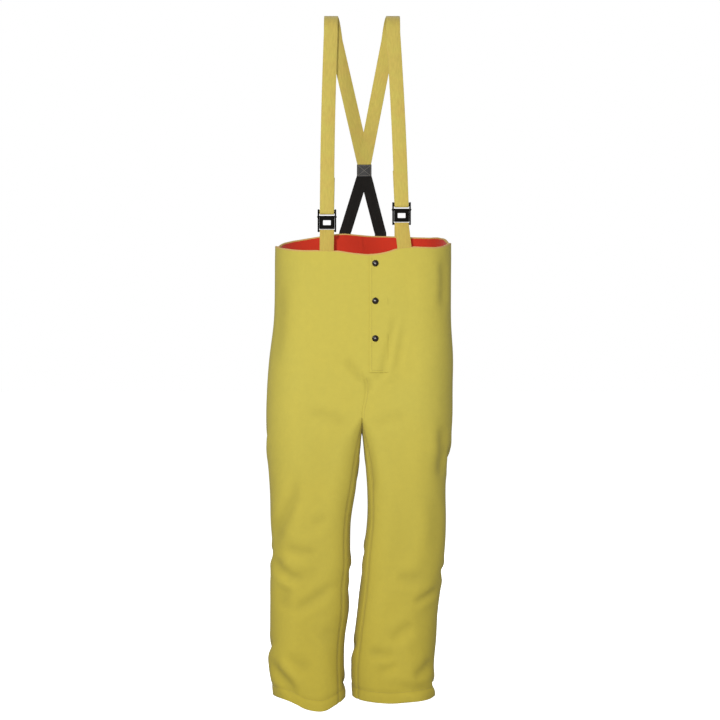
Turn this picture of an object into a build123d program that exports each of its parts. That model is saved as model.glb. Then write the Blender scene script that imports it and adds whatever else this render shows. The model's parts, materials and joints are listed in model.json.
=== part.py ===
from build123d import *
from math import sqrt
import os

os.makedirs("parts", exist_ok=True)

# Bunker trousers hanging by their braces from a round rail. Millimetres, +Z up, the front faces -Y.
# The origin is on the rail's axis, midway between the two braces. Left and right are the wearer's.

# Hanging and overall size
rail_radius = 50.0
waist_drop = 540.0
waist_width = 456.0
waist_depth = 236.0
waist_shift = 3.0
hip_width = 481.0
hip_shift = -5.5
hip_drop = 360.0
seat_fullness = 14.0
rise = 445.0
crotch_height = 30.0
leg_length = 755.0
side_round = 100.0

# Fit of the trunk between its main levels
trunk_spare_height = 50.0
waist_pull_in = 1.0
belly_drop = 80.0
belly_ease = 2.0
crotch_pull_in = {"front": 2.0, "back": 4.0}
fork_pull_in = {"outer": 1.0, "front": 3.0, "back": 7.0}
fork_extra_round = 10.0

# Cloth thicknesses and the gap between two layers
shell_thick = 1.8
barrier_thick = 0.8
liner_thick = 2.2
layer_gap = 0.6

# Waist rim and hems
front_dip = 30.0
back_raise = 31.0
rim_level_end = 28.0
waist_facing_height = 45.0
binding_height = 3.0
hem_facing_height = 28.0

# Fly
fly_drop = 310.0
flap_free_edge = 18.0
flap_width = 44.0
flap_thick = 2.4
flap_clearance = 0.3
flap_overlap = 8.0
flap_corner = 12.0
tongue_width = 24.0
underlap_edge = 10.0
underlap_width = 48.0
underlap_thick = 2.0
hinge_strip_width = 12.0
lining_side_clearance = 2.0
lining_bottom_clearance = 4.0
cutter_spare = 1.0

# Snaps
snap_inset = 15.5
snap_first_drop = 58.0
snap_pitch = 94.5
snap_count = 3
cap_radius = 7.75
cap_height = 3.2
cap_dome = 1.9
socket_radius = 6.25
socket_height = 1.6
socket_bore = 3.3
stud_radius = 2.8
stud_height = 1.4
back_radius = 6.0
back_height = 1.2

# Braces
webbing_width = 36.0
webbing_thick = 1.8
bight_offset = 79.0
tail_length = 90.0
patch_offset = 6.0
patch_drop = 321.0
patch_width = 39.0
patch_height = 32.0
patch_thick = 1.6
patch_front = 84.0
elastic_width = 30.0
elastic_thick = 1.6
elastic_spread = 4.0
elastic_feet = {"right": -46.0, "left": 50.0}
elastic_seat = 30.0
tab_feet = {"right": -89.0, "left": 106.5}
tab_seat = 30.0
tab_return = 34.0
slot_clearance = 0.2
slot_depth_spare = 2.0
loop_slack = 0.15
fan_drop = 50.0
fan_gap = 0.8

# Buckles
buckle_places = {"right": (-88.5, 50.5), "left": (99.5, 68.5)}
buckle_width = 47.0
rail_width = 4.2
rail_height = 59.0
rail_depth = 5.0
rail_end_round = 2.0
top_bar_radius = 3.0
top_bar_height = 20.0
bottom_bar_radius = 2.2
bottom_bar_drop = 26.5
pivot_height = 9.0
pin_radius = 1.5
pin_running_clearance = 0.05
pin_stand_out = 0.3
barrel_radius = 3.5
nose_reach = 5.5
nose_width = 3.0
lever_side_clearance = 0.8
lever_length = 30.6
lever_thick = 3.0
lever_front = 4.5
window_width = 20.0
window_height = 12.5
window_drop = 15.0
lever_corner = 3.0
edge_softening = 0.8

# Worked-out places
far = 2000.0
front = -waist_depth / 2
back = waist_depth / 2
waist = -waist_drop
hip = waist - hip_drop
crotch_top = waist - rise
crotch = crotch_top - crotch_height
hem = crotch_top - leg_length
rim_level_half = waist_width / 2 - rim_level_end
facing_start = shell_thick + layer_gap
liner_start = facing_start + barrier_thick + layer_gap
inside = liner_start + liner_thick
shell_inner_front = front + shell_thick
shell_inner_back = back - shell_thick
elastic_slot = shell_inner_back - elastic_thick
elastic_foot_end = waist + back_raise - elastic_seat
fly_bottom = waist - front_dip - fly_drop
flap_root = flap_free_edge + flap_width
flap_back_face = front - flap_clearance
flap_front_face = flap_back_face - flap_thick
window_bottom = fly_bottom + flap_overlap
window_side = flap_root + lining_side_clearance
snap_across = flap_free_edge + snap_inset
snap_heights = [waist - snap_first_drop - snap_pitch * i for i in range(snap_count)]
bottom_loop_radius = bottom_bar_radius + webbing_thick
top_loop_radius = top_bar_radius + loop_slack
buckle_middle = shell_inner_front + bottom_loop_radius
patch_top = -patch_drop
patch_bottom = patch_top - patch_height
rail_inside = buckle_width / 2 - rail_width

# Level outlines of each half, from above the waist to the hem: height, inner edge, outer edge, front, back,
# rounding of the outer and of the inner corners. Distances across are from the middle, outwards positive.
# Above the crotch the inner edge lies past the middle, because the two halves are cut there.
past_middle = -40.0
small_round = 30.0
leg_rows = {
    "right": [(0.18, 12, 242), (0.4, 31, 237), (0.7, 40, 237), (1.0, 43, 233)],
    "left": [(0.18, 11, 220), (0.4, 10, 214), (0.7, -13, 195), (1.0, -29, 187)],
}
leg_depths = {
    0.18: (-110, 114, 88, 60),
    0.4: (-102, 102, 82, 70),
    0.7: (-93, 98, 78, 72),
    1.0: (-86, 95, 74, 70),
}
crotch_gap = 3.5
crotch_outer = {"right": 247.5, "left": 233.0}
sides = {"right": -1, "left": 1}


def outlines(side):
    """The level outlines of one half of the trousers, as rows of numbers."""
    sign = sides[side]
    waist_edge = waist_width / 2 + sign * waist_shift
    hip_edge = hip_width / 2 + sign * hip_shift
    seat = back + seat_fullness
    rows = [
        (
            waist + trunk_spare_height, past_middle, waist_edge - waist_pull_in,
            front, back, side_round, small_round,
        ),
        (waist - belly_drop, past_middle, waist_edge + belly_ease, front, back, side_round, small_round),
        (hip, past_middle, hip_edge, front, seat, side_round, small_round),
        (
            crotch_top, past_middle, crotch_outer[side],
            front + crotch_pull_in["front"], seat - crotch_pull_in["back"], side_round, small_round,
        ),
        (
            crotch, crotch_gap, crotch_outer[side] - fork_pull_in["outer"],
            front + fork_pull_in["front"], seat - fork_pull_in["back"],
            side_round, small_round + fork_extra_round,
        ),
    ]
    for share, inner, outer in leg_rows[side]:
        leg_front, leg_back, outer_round, inner_round = leg_depths[share]
        height = crotch + share * (hem - crotch)
        rows.append((height, inner, outer, leg_front, leg_back, outer_round, inner_round))
    return rows


def half_body(side, inset):
    """One half of the trousers as a solid body, pulled in by inset all round."""
    sign = sides[side]
    with BuildPart() as body:
        for height, inner, outer, row_front, row_back, outer_round, inner_round in outlines(side):
            x1, x2 = inner + inset, outer - inset
            y1, y2 = row_front + inset, row_back - inset
            r1, r2 = inner_round - inset, outer_round - inset
            k1, k2 = r1 * (1 - sqrt(0.5)), r2 * (1 - sqrt(0.5))
            with BuildSketch(Plane.XY.offset(height)):
                with BuildLine():
                    Line((sign * (x1 + r1), y1), (sign * (x2 - r2), y1))
                    ThreePointArc((sign * (x2 - r2), y1), (sign * (x2 - k2), y1 + k2), (sign * x2, y1 + r2))
                    Line((sign * x2, y1 + r2), (sign * x2, y2 - r2))
                    ThreePointArc((sign * x2, y2 - r2), (sign * (x2 - k2), y2 - k2), (sign * (x2 - r2), y2))
                    Line((sign * (x2 - r2), y2), (sign * (x1 + r1), y2))
                    ThreePointArc((sign * (x1 + r1), y2), (sign * (x1 + k1), y2 - k1), (sign * x1, y2 - r1))
                    Line((sign * x1, y2 - r1), (sign * x1, y1 + r1))
                    ThreePointArc((sign * x1, y1 + r1), (sign * (x1 + k1), y1 + k1), (sign * (x1 + r1), y1))
                make_face()
        loft(ruled=True)
    return body.part


def half_layer(side, outer_inset, inner_inset):
    """One cloth layer of one half, open at the waist and the hem and cut at the middle above the crotch."""
    with BuildPart() as layer:
        add(half_body(side, outer_inset))
        add(half_body(side, inner_inset), mode=Mode.SUBTRACT)
        with Locations((-sides[side] * far / 2, 0, crotch + far / 2)):
            Box(far, far, far, mode=Mode.SUBTRACT)
    return layer.part


def space_above_rim(raised):
    """All the space above the waist rim moved up by raised: the rim dips in front and rises behind."""
    level = waist + raised
    with BuildPart() as space:
        for middle, depth in ((level - front_dip, far), (level + back_raise, -far)):
            with BuildSketch(Plane.XZ):
                with BuildLine():
                    ThreePointArc((-rim_level_half, level), (0, middle), (rim_level_half, level))
                    Line((rim_level_half, level), (far, level))
                    Polyline((far, level), (far, far), (-far, far), (-far, level))
                    Line((-far, level), (-rim_level_half, level))
                make_face()
            extrude(amount=depth)
    return space.part


def front_rim(across):
    """Height of the front rim at a place across the trousers."""
    radius = (rim_level_half**2 + front_dip**2) / (2 * front_dip)
    return waist - front_dip + radius - sqrt(radius**2 - across**2)


def block(low, high, mode=Mode.ADD):
    """A box between two corners."""
    middle = [(a + b) / 2 for a, b in zip(low, high)]
    with Locations(tuple(middle)):
        Box(high[0] - low[0], high[1] - low[1], high[2] - low[2], mode=mode)


def slot(across, width, behind, thick, floor):
    """An open-topped slot for a strap end, cut between two depths."""
    reach = width / 2 + slot_clearance
    block((across - reach, behind, floor), (across + reach, behind + thick, 0), Mode.SUBTRACT)


def finish(piece, name):
    """Label a piece and write it."""
    piece.part.label = name
    export_step(piece.part, f"parts/{name}.step")


# Shell panels. The right front runs on behind the flap as a tongue. The left front starts at the flap's root.
above_rim = space_above_rim(0)
for side in sides:
    outer_cloth = half_layer(side, 0, shell_thick)
    for panel, kept in (("front", Keep.TOP), ("back", Keep.BOTTOM)):
        with BuildPart() as shell_panel:
            add(outer_cloth)
            split(bisect_by=Plane.XZ, keep=kept)
            if (panel, side) == ("front", "right"):
                block((0, front, window_bottom), (tongue_width, shell_inner_front, waist))
            if (panel, side) == ("front", "left"):
                window_back = shell_inner_front + cutter_spare
                block((-cutter_spare, -far, window_bottom), (flap_root, window_back, far), Mode.SUBTRACT)
            add(above_rim, mode=Mode.SUBTRACT)
        finish(shell_panel, f"shell_{panel}_{side}")

# Moisture barrier and liner, between the waist facing and the hem facings, open behind the fly
above_lining = space_above_rim(-waist_facing_height)
hem_facing_top = hem + hem_facing_height
lining = {
    "barrier": (facing_start, facing_start + barrier_thick),
    "liner": (liner_start, inside),
}
for cloth, (outer_inset, inner_inset) in lining.items():
    for side in sides:
        inner_cloth = half_layer(side, outer_inset, inner_inset)
        for panel, kept in (("front", Keep.TOP), ("back", Keep.BOTTOM)):
            with BuildPart() as lining_panel:
                add(inner_cloth)
                split(bisect_by=Plane.XZ, keep=kept)
                add(above_lining, mode=Mode.SUBTRACT)
                block((-far, -far, -far), (far, far, hem_facing_top), Mode.SUBTRACT)
                if (panel, side) == ("front", "left"):
                    lining_bottom = window_bottom - lining_bottom_clearance
                    block((-cutter_spare, front, lining_bottom), (window_side, 0, far), Mode.SUBTRACT)
            finish(lining_panel, f"{cloth}_{panel}_{side}")

# Waist facing, and the hem facing of each leg
facing_halves = {side: half_layer(side, facing_start, inside) for side in sides}
with BuildPart() as waist_facing:
    for side in sides:
        add(facing_halves[side])
    add(above_rim, mode=Mode.SUBTRACT)
    add(above_lining, mode=Mode.INTERSECT)
    block((0, front, -far), (window_side, 0, 0), Mode.SUBTRACT)
    for x in tab_feet.values():
        slot(x, webbing_width, shell_inner_front, webbing_thick, front_rim(x) - tab_seat - slot_depth_spare)
    for x in elastic_feet.values():
        slot(x, elastic_width, elastic_slot, elastic_thick, elastic_foot_end - slot_depth_spare)
finish(waist_facing, "waist_facing")

for side in sides:
    with BuildPart() as hem_facing:
        add(facing_halves[side])
        block((-far, -far, hem_facing_top), (far, far, far), Mode.SUBTRACT)
    finish(hem_facing, f"hem_facing_{side}")

# Binding along the rim, over the shell and the facing, with a slot for each tab and elastic
with BuildPart() as waist_binding:
    for side in sides:
        add(half_layer(side, 0, inside))
    add(space_above_rim(binding_height), mode=Mode.SUBTRACT)
    add(above_rim, mode=Mode.INTERSECT)
    gap_low = flap_free_edge - flap_clearance
    gap_high = flap_root + flap_clearance
    block((gap_low, -far, -far), (gap_high, 0, 0), Mode.SUBTRACT)
    for x in tab_feet.values():
        slot(x, webbing_width, shell_inner_front, webbing_thick, -far)
    for x in elastic_feet.values():
        slot(x, elastic_width, elastic_slot, elastic_thick, -far)
finish(waist_binding, "waist_binding")

# Fly flap, the strip that sews its root to the left front, and the underlap behind it
with BuildPart() as fly_flap:
    with BuildSketch(Plane.XZ.offset(-flap_back_face)):
        with BuildLine():
            Polyline(
                (flap_root, fly_bottom),
                (flap_root, front_rim(flap_root) + binding_height),
                (flap_free_edge, front_rim(flap_free_edge) + binding_height),
                (flap_free_edge, fly_bottom + flap_corner),
            )
            corner_end = (flap_free_edge + flap_corner, fly_bottom)
            RadiusArc((flap_free_edge, fly_bottom + flap_corner), corner_end, -flap_corner)
            Line(corner_end, (flap_root, fly_bottom))
        make_face()
    extrude(amount=flap_thick)
finish(fly_flap, "fly_flap")

strip_start = flap_root + flap_clearance
strip_end = flap_root + hinge_strip_width
with BuildPart() as fly_hinge_strip:
    with BuildSketch(Plane.XZ.offset(-front)):
        with BuildLine():
            Polyline(
                (strip_start, fly_bottom),
                (strip_end, fly_bottom),
                (strip_end, front_rim(strip_end)),
                (strip_start, front_rim(strip_start)),
                close=True,
            )
        make_face()
    extrude(amount=flap_thick + flap_clearance)
finish(fly_hinge_strip, "fly_hinge_strip")

underlap_front_face = shell_inner_front
underlap_back_face = underlap_front_face + underlap_thick
with BuildPart() as fly_underlap:
    block(
        (underlap_edge, underlap_front_face, window_bottom),
        (underlap_edge + underlap_width, underlap_back_face, waist),
    )
    add(above_rim, mode=Mode.SUBTRACT)
finish(fly_underlap, "fly_underlap")


def snap_spots(depth, turn):
    """The three snap places at one depth, turned to face out (90) or in (-90)."""
    return [Location((snap_across, depth, height), (turn, 0, 0)) for height in snap_heights]


from_base = (Align.CENTER, Align.CENTER, Align.MIN)
with BuildPart() as snap_caps:
    with Locations(*snap_spots(flap_front_face, 90)):
        Cylinder(cap_radius, cap_height, align=from_base)
    fillet(snap_caps.faces().filter_by(Axis.Y).group_by(Axis.Y)[0].edges(), radius=cap_dome)
finish(snap_caps, "snap_caps")

with BuildPart() as snap_sockets:
    with Locations(*snap_spots(flap_back_face, -90)):
        Cylinder(socket_radius, socket_height, align=from_base)
        Cylinder(socket_bore, socket_height, align=from_base, mode=Mode.SUBTRACT)
finish(snap_sockets, "snap_sockets")

with BuildPart() as snap_studs:
    with Locations(*snap_spots(underlap_front_face, 90)):
        Cylinder(stud_radius, stud_height, align=from_base)
finish(snap_studs, "snap_studs")

with BuildPart() as snap_backs:
    with Locations(*snap_spots(underlap_back_face, -90)):
        Cylinder(back_radius, back_height, align=from_base)
finish(snap_backs, "snap_backs")


def webbing_run(start, end, width, thick):
    """Flat webbing between two level ends, each given by the middle of its section."""
    with BuildPart() as run:
        for x, y, z in (start, end):
            with BuildSketch(Plane.XY.offset(z)):
                with Locations((x, y)):
                    Rectangle(width, thick)
        loft(ruled=True)
    return run.part


def half_loop(x, y, z, inner_radius, upper):
    """Webbing bent half way round a bar that lies along X."""
    outer_radius = inner_radius + webbing_thick
    reach = 2 * outer_radius
    cut_middle = z - reach / 2 if upper else z + reach / 2
    with BuildPart() as loop:
        with BuildSketch(Plane.YZ.offset(x - webbing_width / 2)):
            with Locations((y, z)):
                Circle(outer_radius)
                Circle(inner_radius, mode=Mode.SUBTRACT)
            with Locations((y, cut_middle)):
                Rectangle(2 * reach, reach, mode=Mode.SUBTRACT)
        extrude(amount=webbing_width)
    return loop.part


# Where the layers lie under the cross patch, from front to back
strap_left_place = patch_front + patch_thick
elastic_left_place = strap_left_place + webbing_thick
elastic_right_place = elastic_left_place + elastic_thick
strap_right_place = elastic_right_place + elastic_thick
patch_back = strap_right_place + webbing_thick
strap_places = {"right": strap_right_place, "left": strap_left_place}
elastic_places = {"right": elastic_right_place, "left": elastic_left_place}

for side, sign in sides.items():
    buckle_x, raised = buckle_places[side]
    buckle_z = waist + raised
    top_bar = buckle_z + top_bar_height
    bottom_bar = buckle_z - bottom_bar_drop
    pivot = buckle_z + pivot_height
    half_thick = webbing_thick / 2

    # Shoulder strap: tail, loop round the top bar, front run, bight over the rail, back run, end in the patch
    bight_x = sign * bight_offset
    front_low = (buckle_x, buckle_middle - top_loop_radius - half_thick, top_bar)
    front_high = (bight_x, -rail_radius - half_thick, 0)
    lean = [(b - a) / (front_high[2] - front_low[2]) for a, b in zip(front_low, front_high)]
    tail_low = (buckle_x, buckle_middle + top_loop_radius + half_thick, top_bar)
    tail_high = tuple(a + b * tail_length for a, b in zip(tail_low, lean))
    back_high = (bight_x, rail_radius + half_thick, 0)
    strap_y = strap_places[side] + half_thick
    back_low = (patch_offset, strap_y, patch_top)
    strap_end = (patch_offset, strap_y, patch_bottom)
    with BuildPart() as shoulder_strap:
        add(webbing_run(tail_high, tail_low, webbing_width, webbing_thick))
        add(half_loop(buckle_x, buckle_middle, top_bar, top_loop_radius, upper=False))
        add(webbing_run(front_low, front_high, webbing_width, webbing_thick))
        add(half_loop(bight_x, 0, 0, rail_radius, upper=True))
        add(webbing_run(back_high, back_low, webbing_width, webbing_thick))
        add(webbing_run(back_low, strap_end, webbing_width, webbing_thick))
    finish(shoulder_strap, f"shoulder_strap_{side}")

    # Elastic: end in the patch, fan out past the other one, run to the waist, and a foot that is
    # sewn between the back shell and the waist facing
    head_x = patch_offset + sign * elastic_spread
    head_y = elastic_places[side] + elastic_thick / 2
    foot_x = elastic_feet[side]
    foot_y = shell_inner_back - elastic_thick / 2
    foot_top = waist + back_raise + 2 * binding_height
    fan_share = fan_drop / (patch_bottom - foot_top)
    front_head_y = elastic_left_place + elastic_thick / 2
    fan_x = head_x + fan_share * (foot_x - head_x)
    fan_y = head_y + fan_share * (foot_y - front_head_y) + (fan_gap if side == "right" else 0)
    places = [
        (head_x, head_y, patch_top - elastic_spread),
        (head_x, head_y, patch_bottom),
        (fan_x, fan_y, patch_bottom - fan_drop),
        (foot_x, foot_y, foot_top),
        (foot_x, foot_y, elastic_foot_end),
    ]
    with BuildPart() as elastic:
        for start, end in zip(places, places[1:]):
            add(webbing_run(start, end, elastic_width, elastic_thick))
    finish(elastic, f"elastic_{side}")

    # Front tab: foot between the front shell and the waist facing, a run that leans to the buckle, loop over
    # the bottom bar, return end
    tab_front = buckle_middle - bottom_bar_radius - half_thick
    tab_back = buckle_middle + bottom_bar_radius + half_thick
    tab_x = tab_feet[side]
    tab_foot = (tab_x, tab_front, front_rim(tab_x) - tab_seat)
    tab_rise = (tab_x, tab_front, front_rim(tab_x) + 2 * binding_height)
    tab_end = (buckle_x, tab_back, bottom_bar - tab_return)
    with BuildPart() as front_tab:
        add(webbing_run(tab_foot, tab_rise, webbing_width, webbing_thick))
        add(webbing_run(tab_rise, (buckle_x, tab_front, bottom_bar), webbing_width, webbing_thick))
        add(half_loop(buckle_x, buckle_middle, bottom_bar, bottom_bar_radius, upper=True))
        add(webbing_run((buckle_x, tab_back, bottom_bar), tab_end, webbing_width, webbing_thick))
    finish(front_tab, f"front_tab_{side}")

    # Buckle frame: two rails joined by the top and bottom bars, with a hole in each rail for the pin
    with BuildPart() as buckle_frame:
        with BuildSketch(Plane.XZ.offset(-buckle_middle)):
            for rail in (-1, 1):
                with Locations((buckle_x + rail * (buckle_width - rail_width) / 2, buckle_z)):
                    RectangleRounded(rail_width, rail_height, rail_end_round)
        extrude(amount=rail_depth / 2, both=True)
        chamfer(buckle_frame.faces().filter_by(Axis.Y).edges(), length=edge_softening)
        with Locations(Location((buckle_x, buckle_middle, top_bar), (0, 90, 0))):
            Cylinder(top_bar_radius, 2 * rail_inside + rail_width)
        with Locations(Location((buckle_x, buckle_middle, bottom_bar), (0, 90, 0))):
            Cylinder(bottom_bar_radius, 2 * rail_inside + rail_width)
        with Locations(Location((buckle_x, buckle_middle, pivot), (0, 90, 0))):
            Cylinder(pin_radius, 2 * buckle_width, mode=Mode.SUBTRACT)
    finish(buckle_frame, f"{side}_buckle_frame")

    with BuildPart() as buckle_pin:
        with Locations(Location((buckle_x, buckle_middle, pivot), (0, 90, 0))):
            Cylinder(pin_radius, buckle_width + 2 * pin_stand_out)
    finish(buckle_pin, f"{side}_buckle_pin")

    # Lever: barrel on the pin, cam nose towards the top bar, plate with a window
    lever_half = rail_inside - lever_side_clearance
    plate_front = buckle_middle - lever_front
    plate_back = plate_front + lever_thick
    with BuildPart() as buckle_lever:
        block(
            (buckle_x - lever_half, plate_front, pivot - lever_length),
            (buckle_x + lever_half, plate_back, pivot),
        )
        fillet(buckle_lever.edges().filter_by(Axis.Y).group_by(Axis.Z)[0], radius=lever_corner)
        fillet(buckle_lever.faces().sort_by(Axis.Y)[0].edges(), radius=edge_softening)
        with Locations(Location((buckle_x, buckle_middle, pivot), (0, 90, 0))):
            Cylinder(barrel_radius, 2 * lever_half)
        block(
            (buckle_x - lever_half, buckle_middle - nose_width / 2, pivot),
            (buckle_x + lever_half, buckle_middle + nose_width / 2, pivot + nose_reach),
        )
        with Locations((buckle_x, buckle_middle, pivot - window_drop)):
            Box(window_width, rail_depth * 4, window_height, mode=Mode.SUBTRACT)
        with Locations(Location((buckle_x, buckle_middle, pivot), (0, 90, 0))):
            Cylinder(pin_radius + pin_running_clearance, 2 * buckle_width, mode=Mode.SUBTRACT)
    finish(buckle_lever, f"{side}_buckle_lever")

# Cross patch: an inner and an outer ply that close over the straps and elastics
for ply, start in (("inner", patch_front), ("outer", patch_back)):
    with BuildPart() as cross_patch:
        block(
            (patch_offset - patch_width / 2, start, patch_bottom),
            (patch_offset + patch_width / 2, start + patch_thick, patch_top),
        )
    finish(cross_patch, f"cross_patch_{ply}")
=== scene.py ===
import json
import math
from itertools import accumulate

import bmesh
import bpy
import numpy as np
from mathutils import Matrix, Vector


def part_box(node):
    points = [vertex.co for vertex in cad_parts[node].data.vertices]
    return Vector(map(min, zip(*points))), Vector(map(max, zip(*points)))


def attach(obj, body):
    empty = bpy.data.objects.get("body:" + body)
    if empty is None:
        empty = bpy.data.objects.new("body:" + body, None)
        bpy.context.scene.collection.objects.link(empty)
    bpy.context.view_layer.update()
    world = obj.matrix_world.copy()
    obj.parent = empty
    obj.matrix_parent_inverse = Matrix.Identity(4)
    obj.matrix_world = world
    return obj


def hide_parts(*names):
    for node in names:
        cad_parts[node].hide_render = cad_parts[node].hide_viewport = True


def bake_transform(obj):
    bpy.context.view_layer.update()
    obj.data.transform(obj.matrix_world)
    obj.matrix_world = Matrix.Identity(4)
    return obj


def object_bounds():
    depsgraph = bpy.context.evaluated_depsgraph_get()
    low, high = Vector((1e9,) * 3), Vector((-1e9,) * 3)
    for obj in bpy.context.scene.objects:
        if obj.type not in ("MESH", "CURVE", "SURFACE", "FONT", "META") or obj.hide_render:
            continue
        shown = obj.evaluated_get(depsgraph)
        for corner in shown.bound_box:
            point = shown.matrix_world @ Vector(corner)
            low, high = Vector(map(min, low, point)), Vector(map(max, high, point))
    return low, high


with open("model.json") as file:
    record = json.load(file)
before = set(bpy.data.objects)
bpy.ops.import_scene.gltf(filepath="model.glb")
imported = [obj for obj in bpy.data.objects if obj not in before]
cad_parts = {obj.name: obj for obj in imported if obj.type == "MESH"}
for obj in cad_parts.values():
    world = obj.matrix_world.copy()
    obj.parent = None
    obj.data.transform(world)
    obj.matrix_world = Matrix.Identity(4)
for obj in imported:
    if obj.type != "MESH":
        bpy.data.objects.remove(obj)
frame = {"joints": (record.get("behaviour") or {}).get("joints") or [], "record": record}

bl_info = {
    "name": "Bunker Trousers",
    "version": (1, 0, 0),
    "blender": (4, 5, 0),
    "location": "View3D > Sidebar > Trousers",
    "description": "Builds lined bunker trousers with braces around their packed frame",
    "category": "Object",
}

CAD_BOX = [list(corner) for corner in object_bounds()]
JOINTS = {joint["name"]: joint for joint in frame["joints"]}
SIDES = {"right": -1, "left": 1}
FORWARD, BACKWARD = (0, -1, 0), (0, 1, 0)

# Outline of each half, seen from the front: height, inner edge and outer edge, outwards from the middle.
EDGES = {
    "right": [
        (-0.480, 0, 0.2245), (-0.545, 0, 0.2255), (-0.640, 0, 0.2262), (-0.737, 0, 0.229),
        (-0.828, 0, 0.239), (-0.919, 0, 0.2457), (-0.997, 0, 0.2475), (-1.020, 0.0030, 0.2472),
        (-1.075, 0.0078, 0.2454), (-1.153, 0.0156, 0.2397), (-1.257, 0.0296, 0.2366),
        (-1.335, 0.0310, 0.2330), (-1.366, 0.0305, 0.2360), (-1.413, 0.0364, 0.2370),
        (-1.491, 0.0356, 0.2366), (-1.569, 0.0442, 0.2358), (-1.647, 0.0455, 0.2412),
        (-1.699, 0.0434, 0.2330), (-1.740, 0.0434, 0.2300),
    ],
    "left": [
        (-0.480, 0, 0.231), (-0.545, 0, 0.2305), (-0.640, 0, 0.2300), (-0.737, 0, 0.2305),
        (-0.828, 0, 0.2356), (-0.919, 0, 0.2350), (-0.997, 0, 0.2335), (-1.020, 0.0030, 0.2318),
        (-1.075, 0.0078, 0.2272), (-1.114, 0.0104, 0.2165), (-1.153, 0.0125, 0.2156),
        (-1.257, 0.0130, 0.2155), (-1.335, 0.0052, 0.2122), (-1.413, -0.0013, 0.2054),
        (-1.491, -0.0096, 0.1965), (-1.569, -0.0200, 0.1935), (-1.647, -0.0286, 0.1872),
        (-1.699, -0.0286, 0.1872), (-1.740, -0.0280, 0.1860),
    ],
}
# Height, front, back and rounding of the outer sides.
DEPTHS = [
    (-0.480, -0.118, 0.118, 0.100), (-0.620, -0.118, 0.118, 0.100), (-0.760, -0.118, 0.125, 0.100),
    (-0.900, -0.118, 0.131, 0.100), (-0.985, -0.116, 0.128, 0.100), (-1.150, -0.110, 0.114, 0.090),
    (-1.300, -0.102, 0.103, 0.084), (-1.520, -0.093, 0.098, 0.080), (-1.740, -0.086, 0.094, 0.076),
]
# Place across and height of the rim, before and behind, and of the hems, before and behind.
FRONT_RIM = [
    (-0.2258, -0.5490), (-0.2170, -0.5540), (-0.186, -0.5625), (-0.153, -0.5665), (-0.108, -0.5670),
    (-0.066, -0.5680), (-0.015, -0.5748), (0.028, -0.5768), (0.063, -0.5710), (0.090, -0.5622),
    (0.121, -0.5580), (0.155, -0.5584), (0.190, -0.5575), (0.212, -0.5520), (0.2308, -0.5410),
]
BACK_RIM = [
    (-0.2258, -0.5490), (-0.2150, -0.5375), (-0.193, -0.5278), (-0.166, -0.5215), (-0.140, -0.5165),
    (-0.115, -0.5125), (-0.080, -0.5070), (-0.048, -0.5045), (-0.016, -0.5073), (0.021, -0.5105),
    (0.070, -0.5115), (0.131, -0.5140), (0.180, -0.5165), (0.210, -0.5195), (0.224, -0.5275),
    (0.2308, -0.5410),
]
FRONT_HEMS = {
    "right": [
        (-0.240, -1.706), (-0.220, -1.704), (-0.195, -1.706), (-0.168, -1.715), (-0.145, -1.726),
        (-0.125, -1.731), (-0.092, -1.731), (-0.070, -1.722), (-0.042, -1.712),
    ],
    "left": [(-0.030, -1.707), (0.020, -1.710), (0.075, -1.713), (0.130, -1.709), (0.190, -1.708)],
}
BACK_HEMS = {
    "right": [(-0.240, -1.706), (-0.150, -1.716), (-0.042, -1.712)],
    "left": [(-0.030, -1.707), (0.080, -1.716), (0.190, -1.708)],
}

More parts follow.
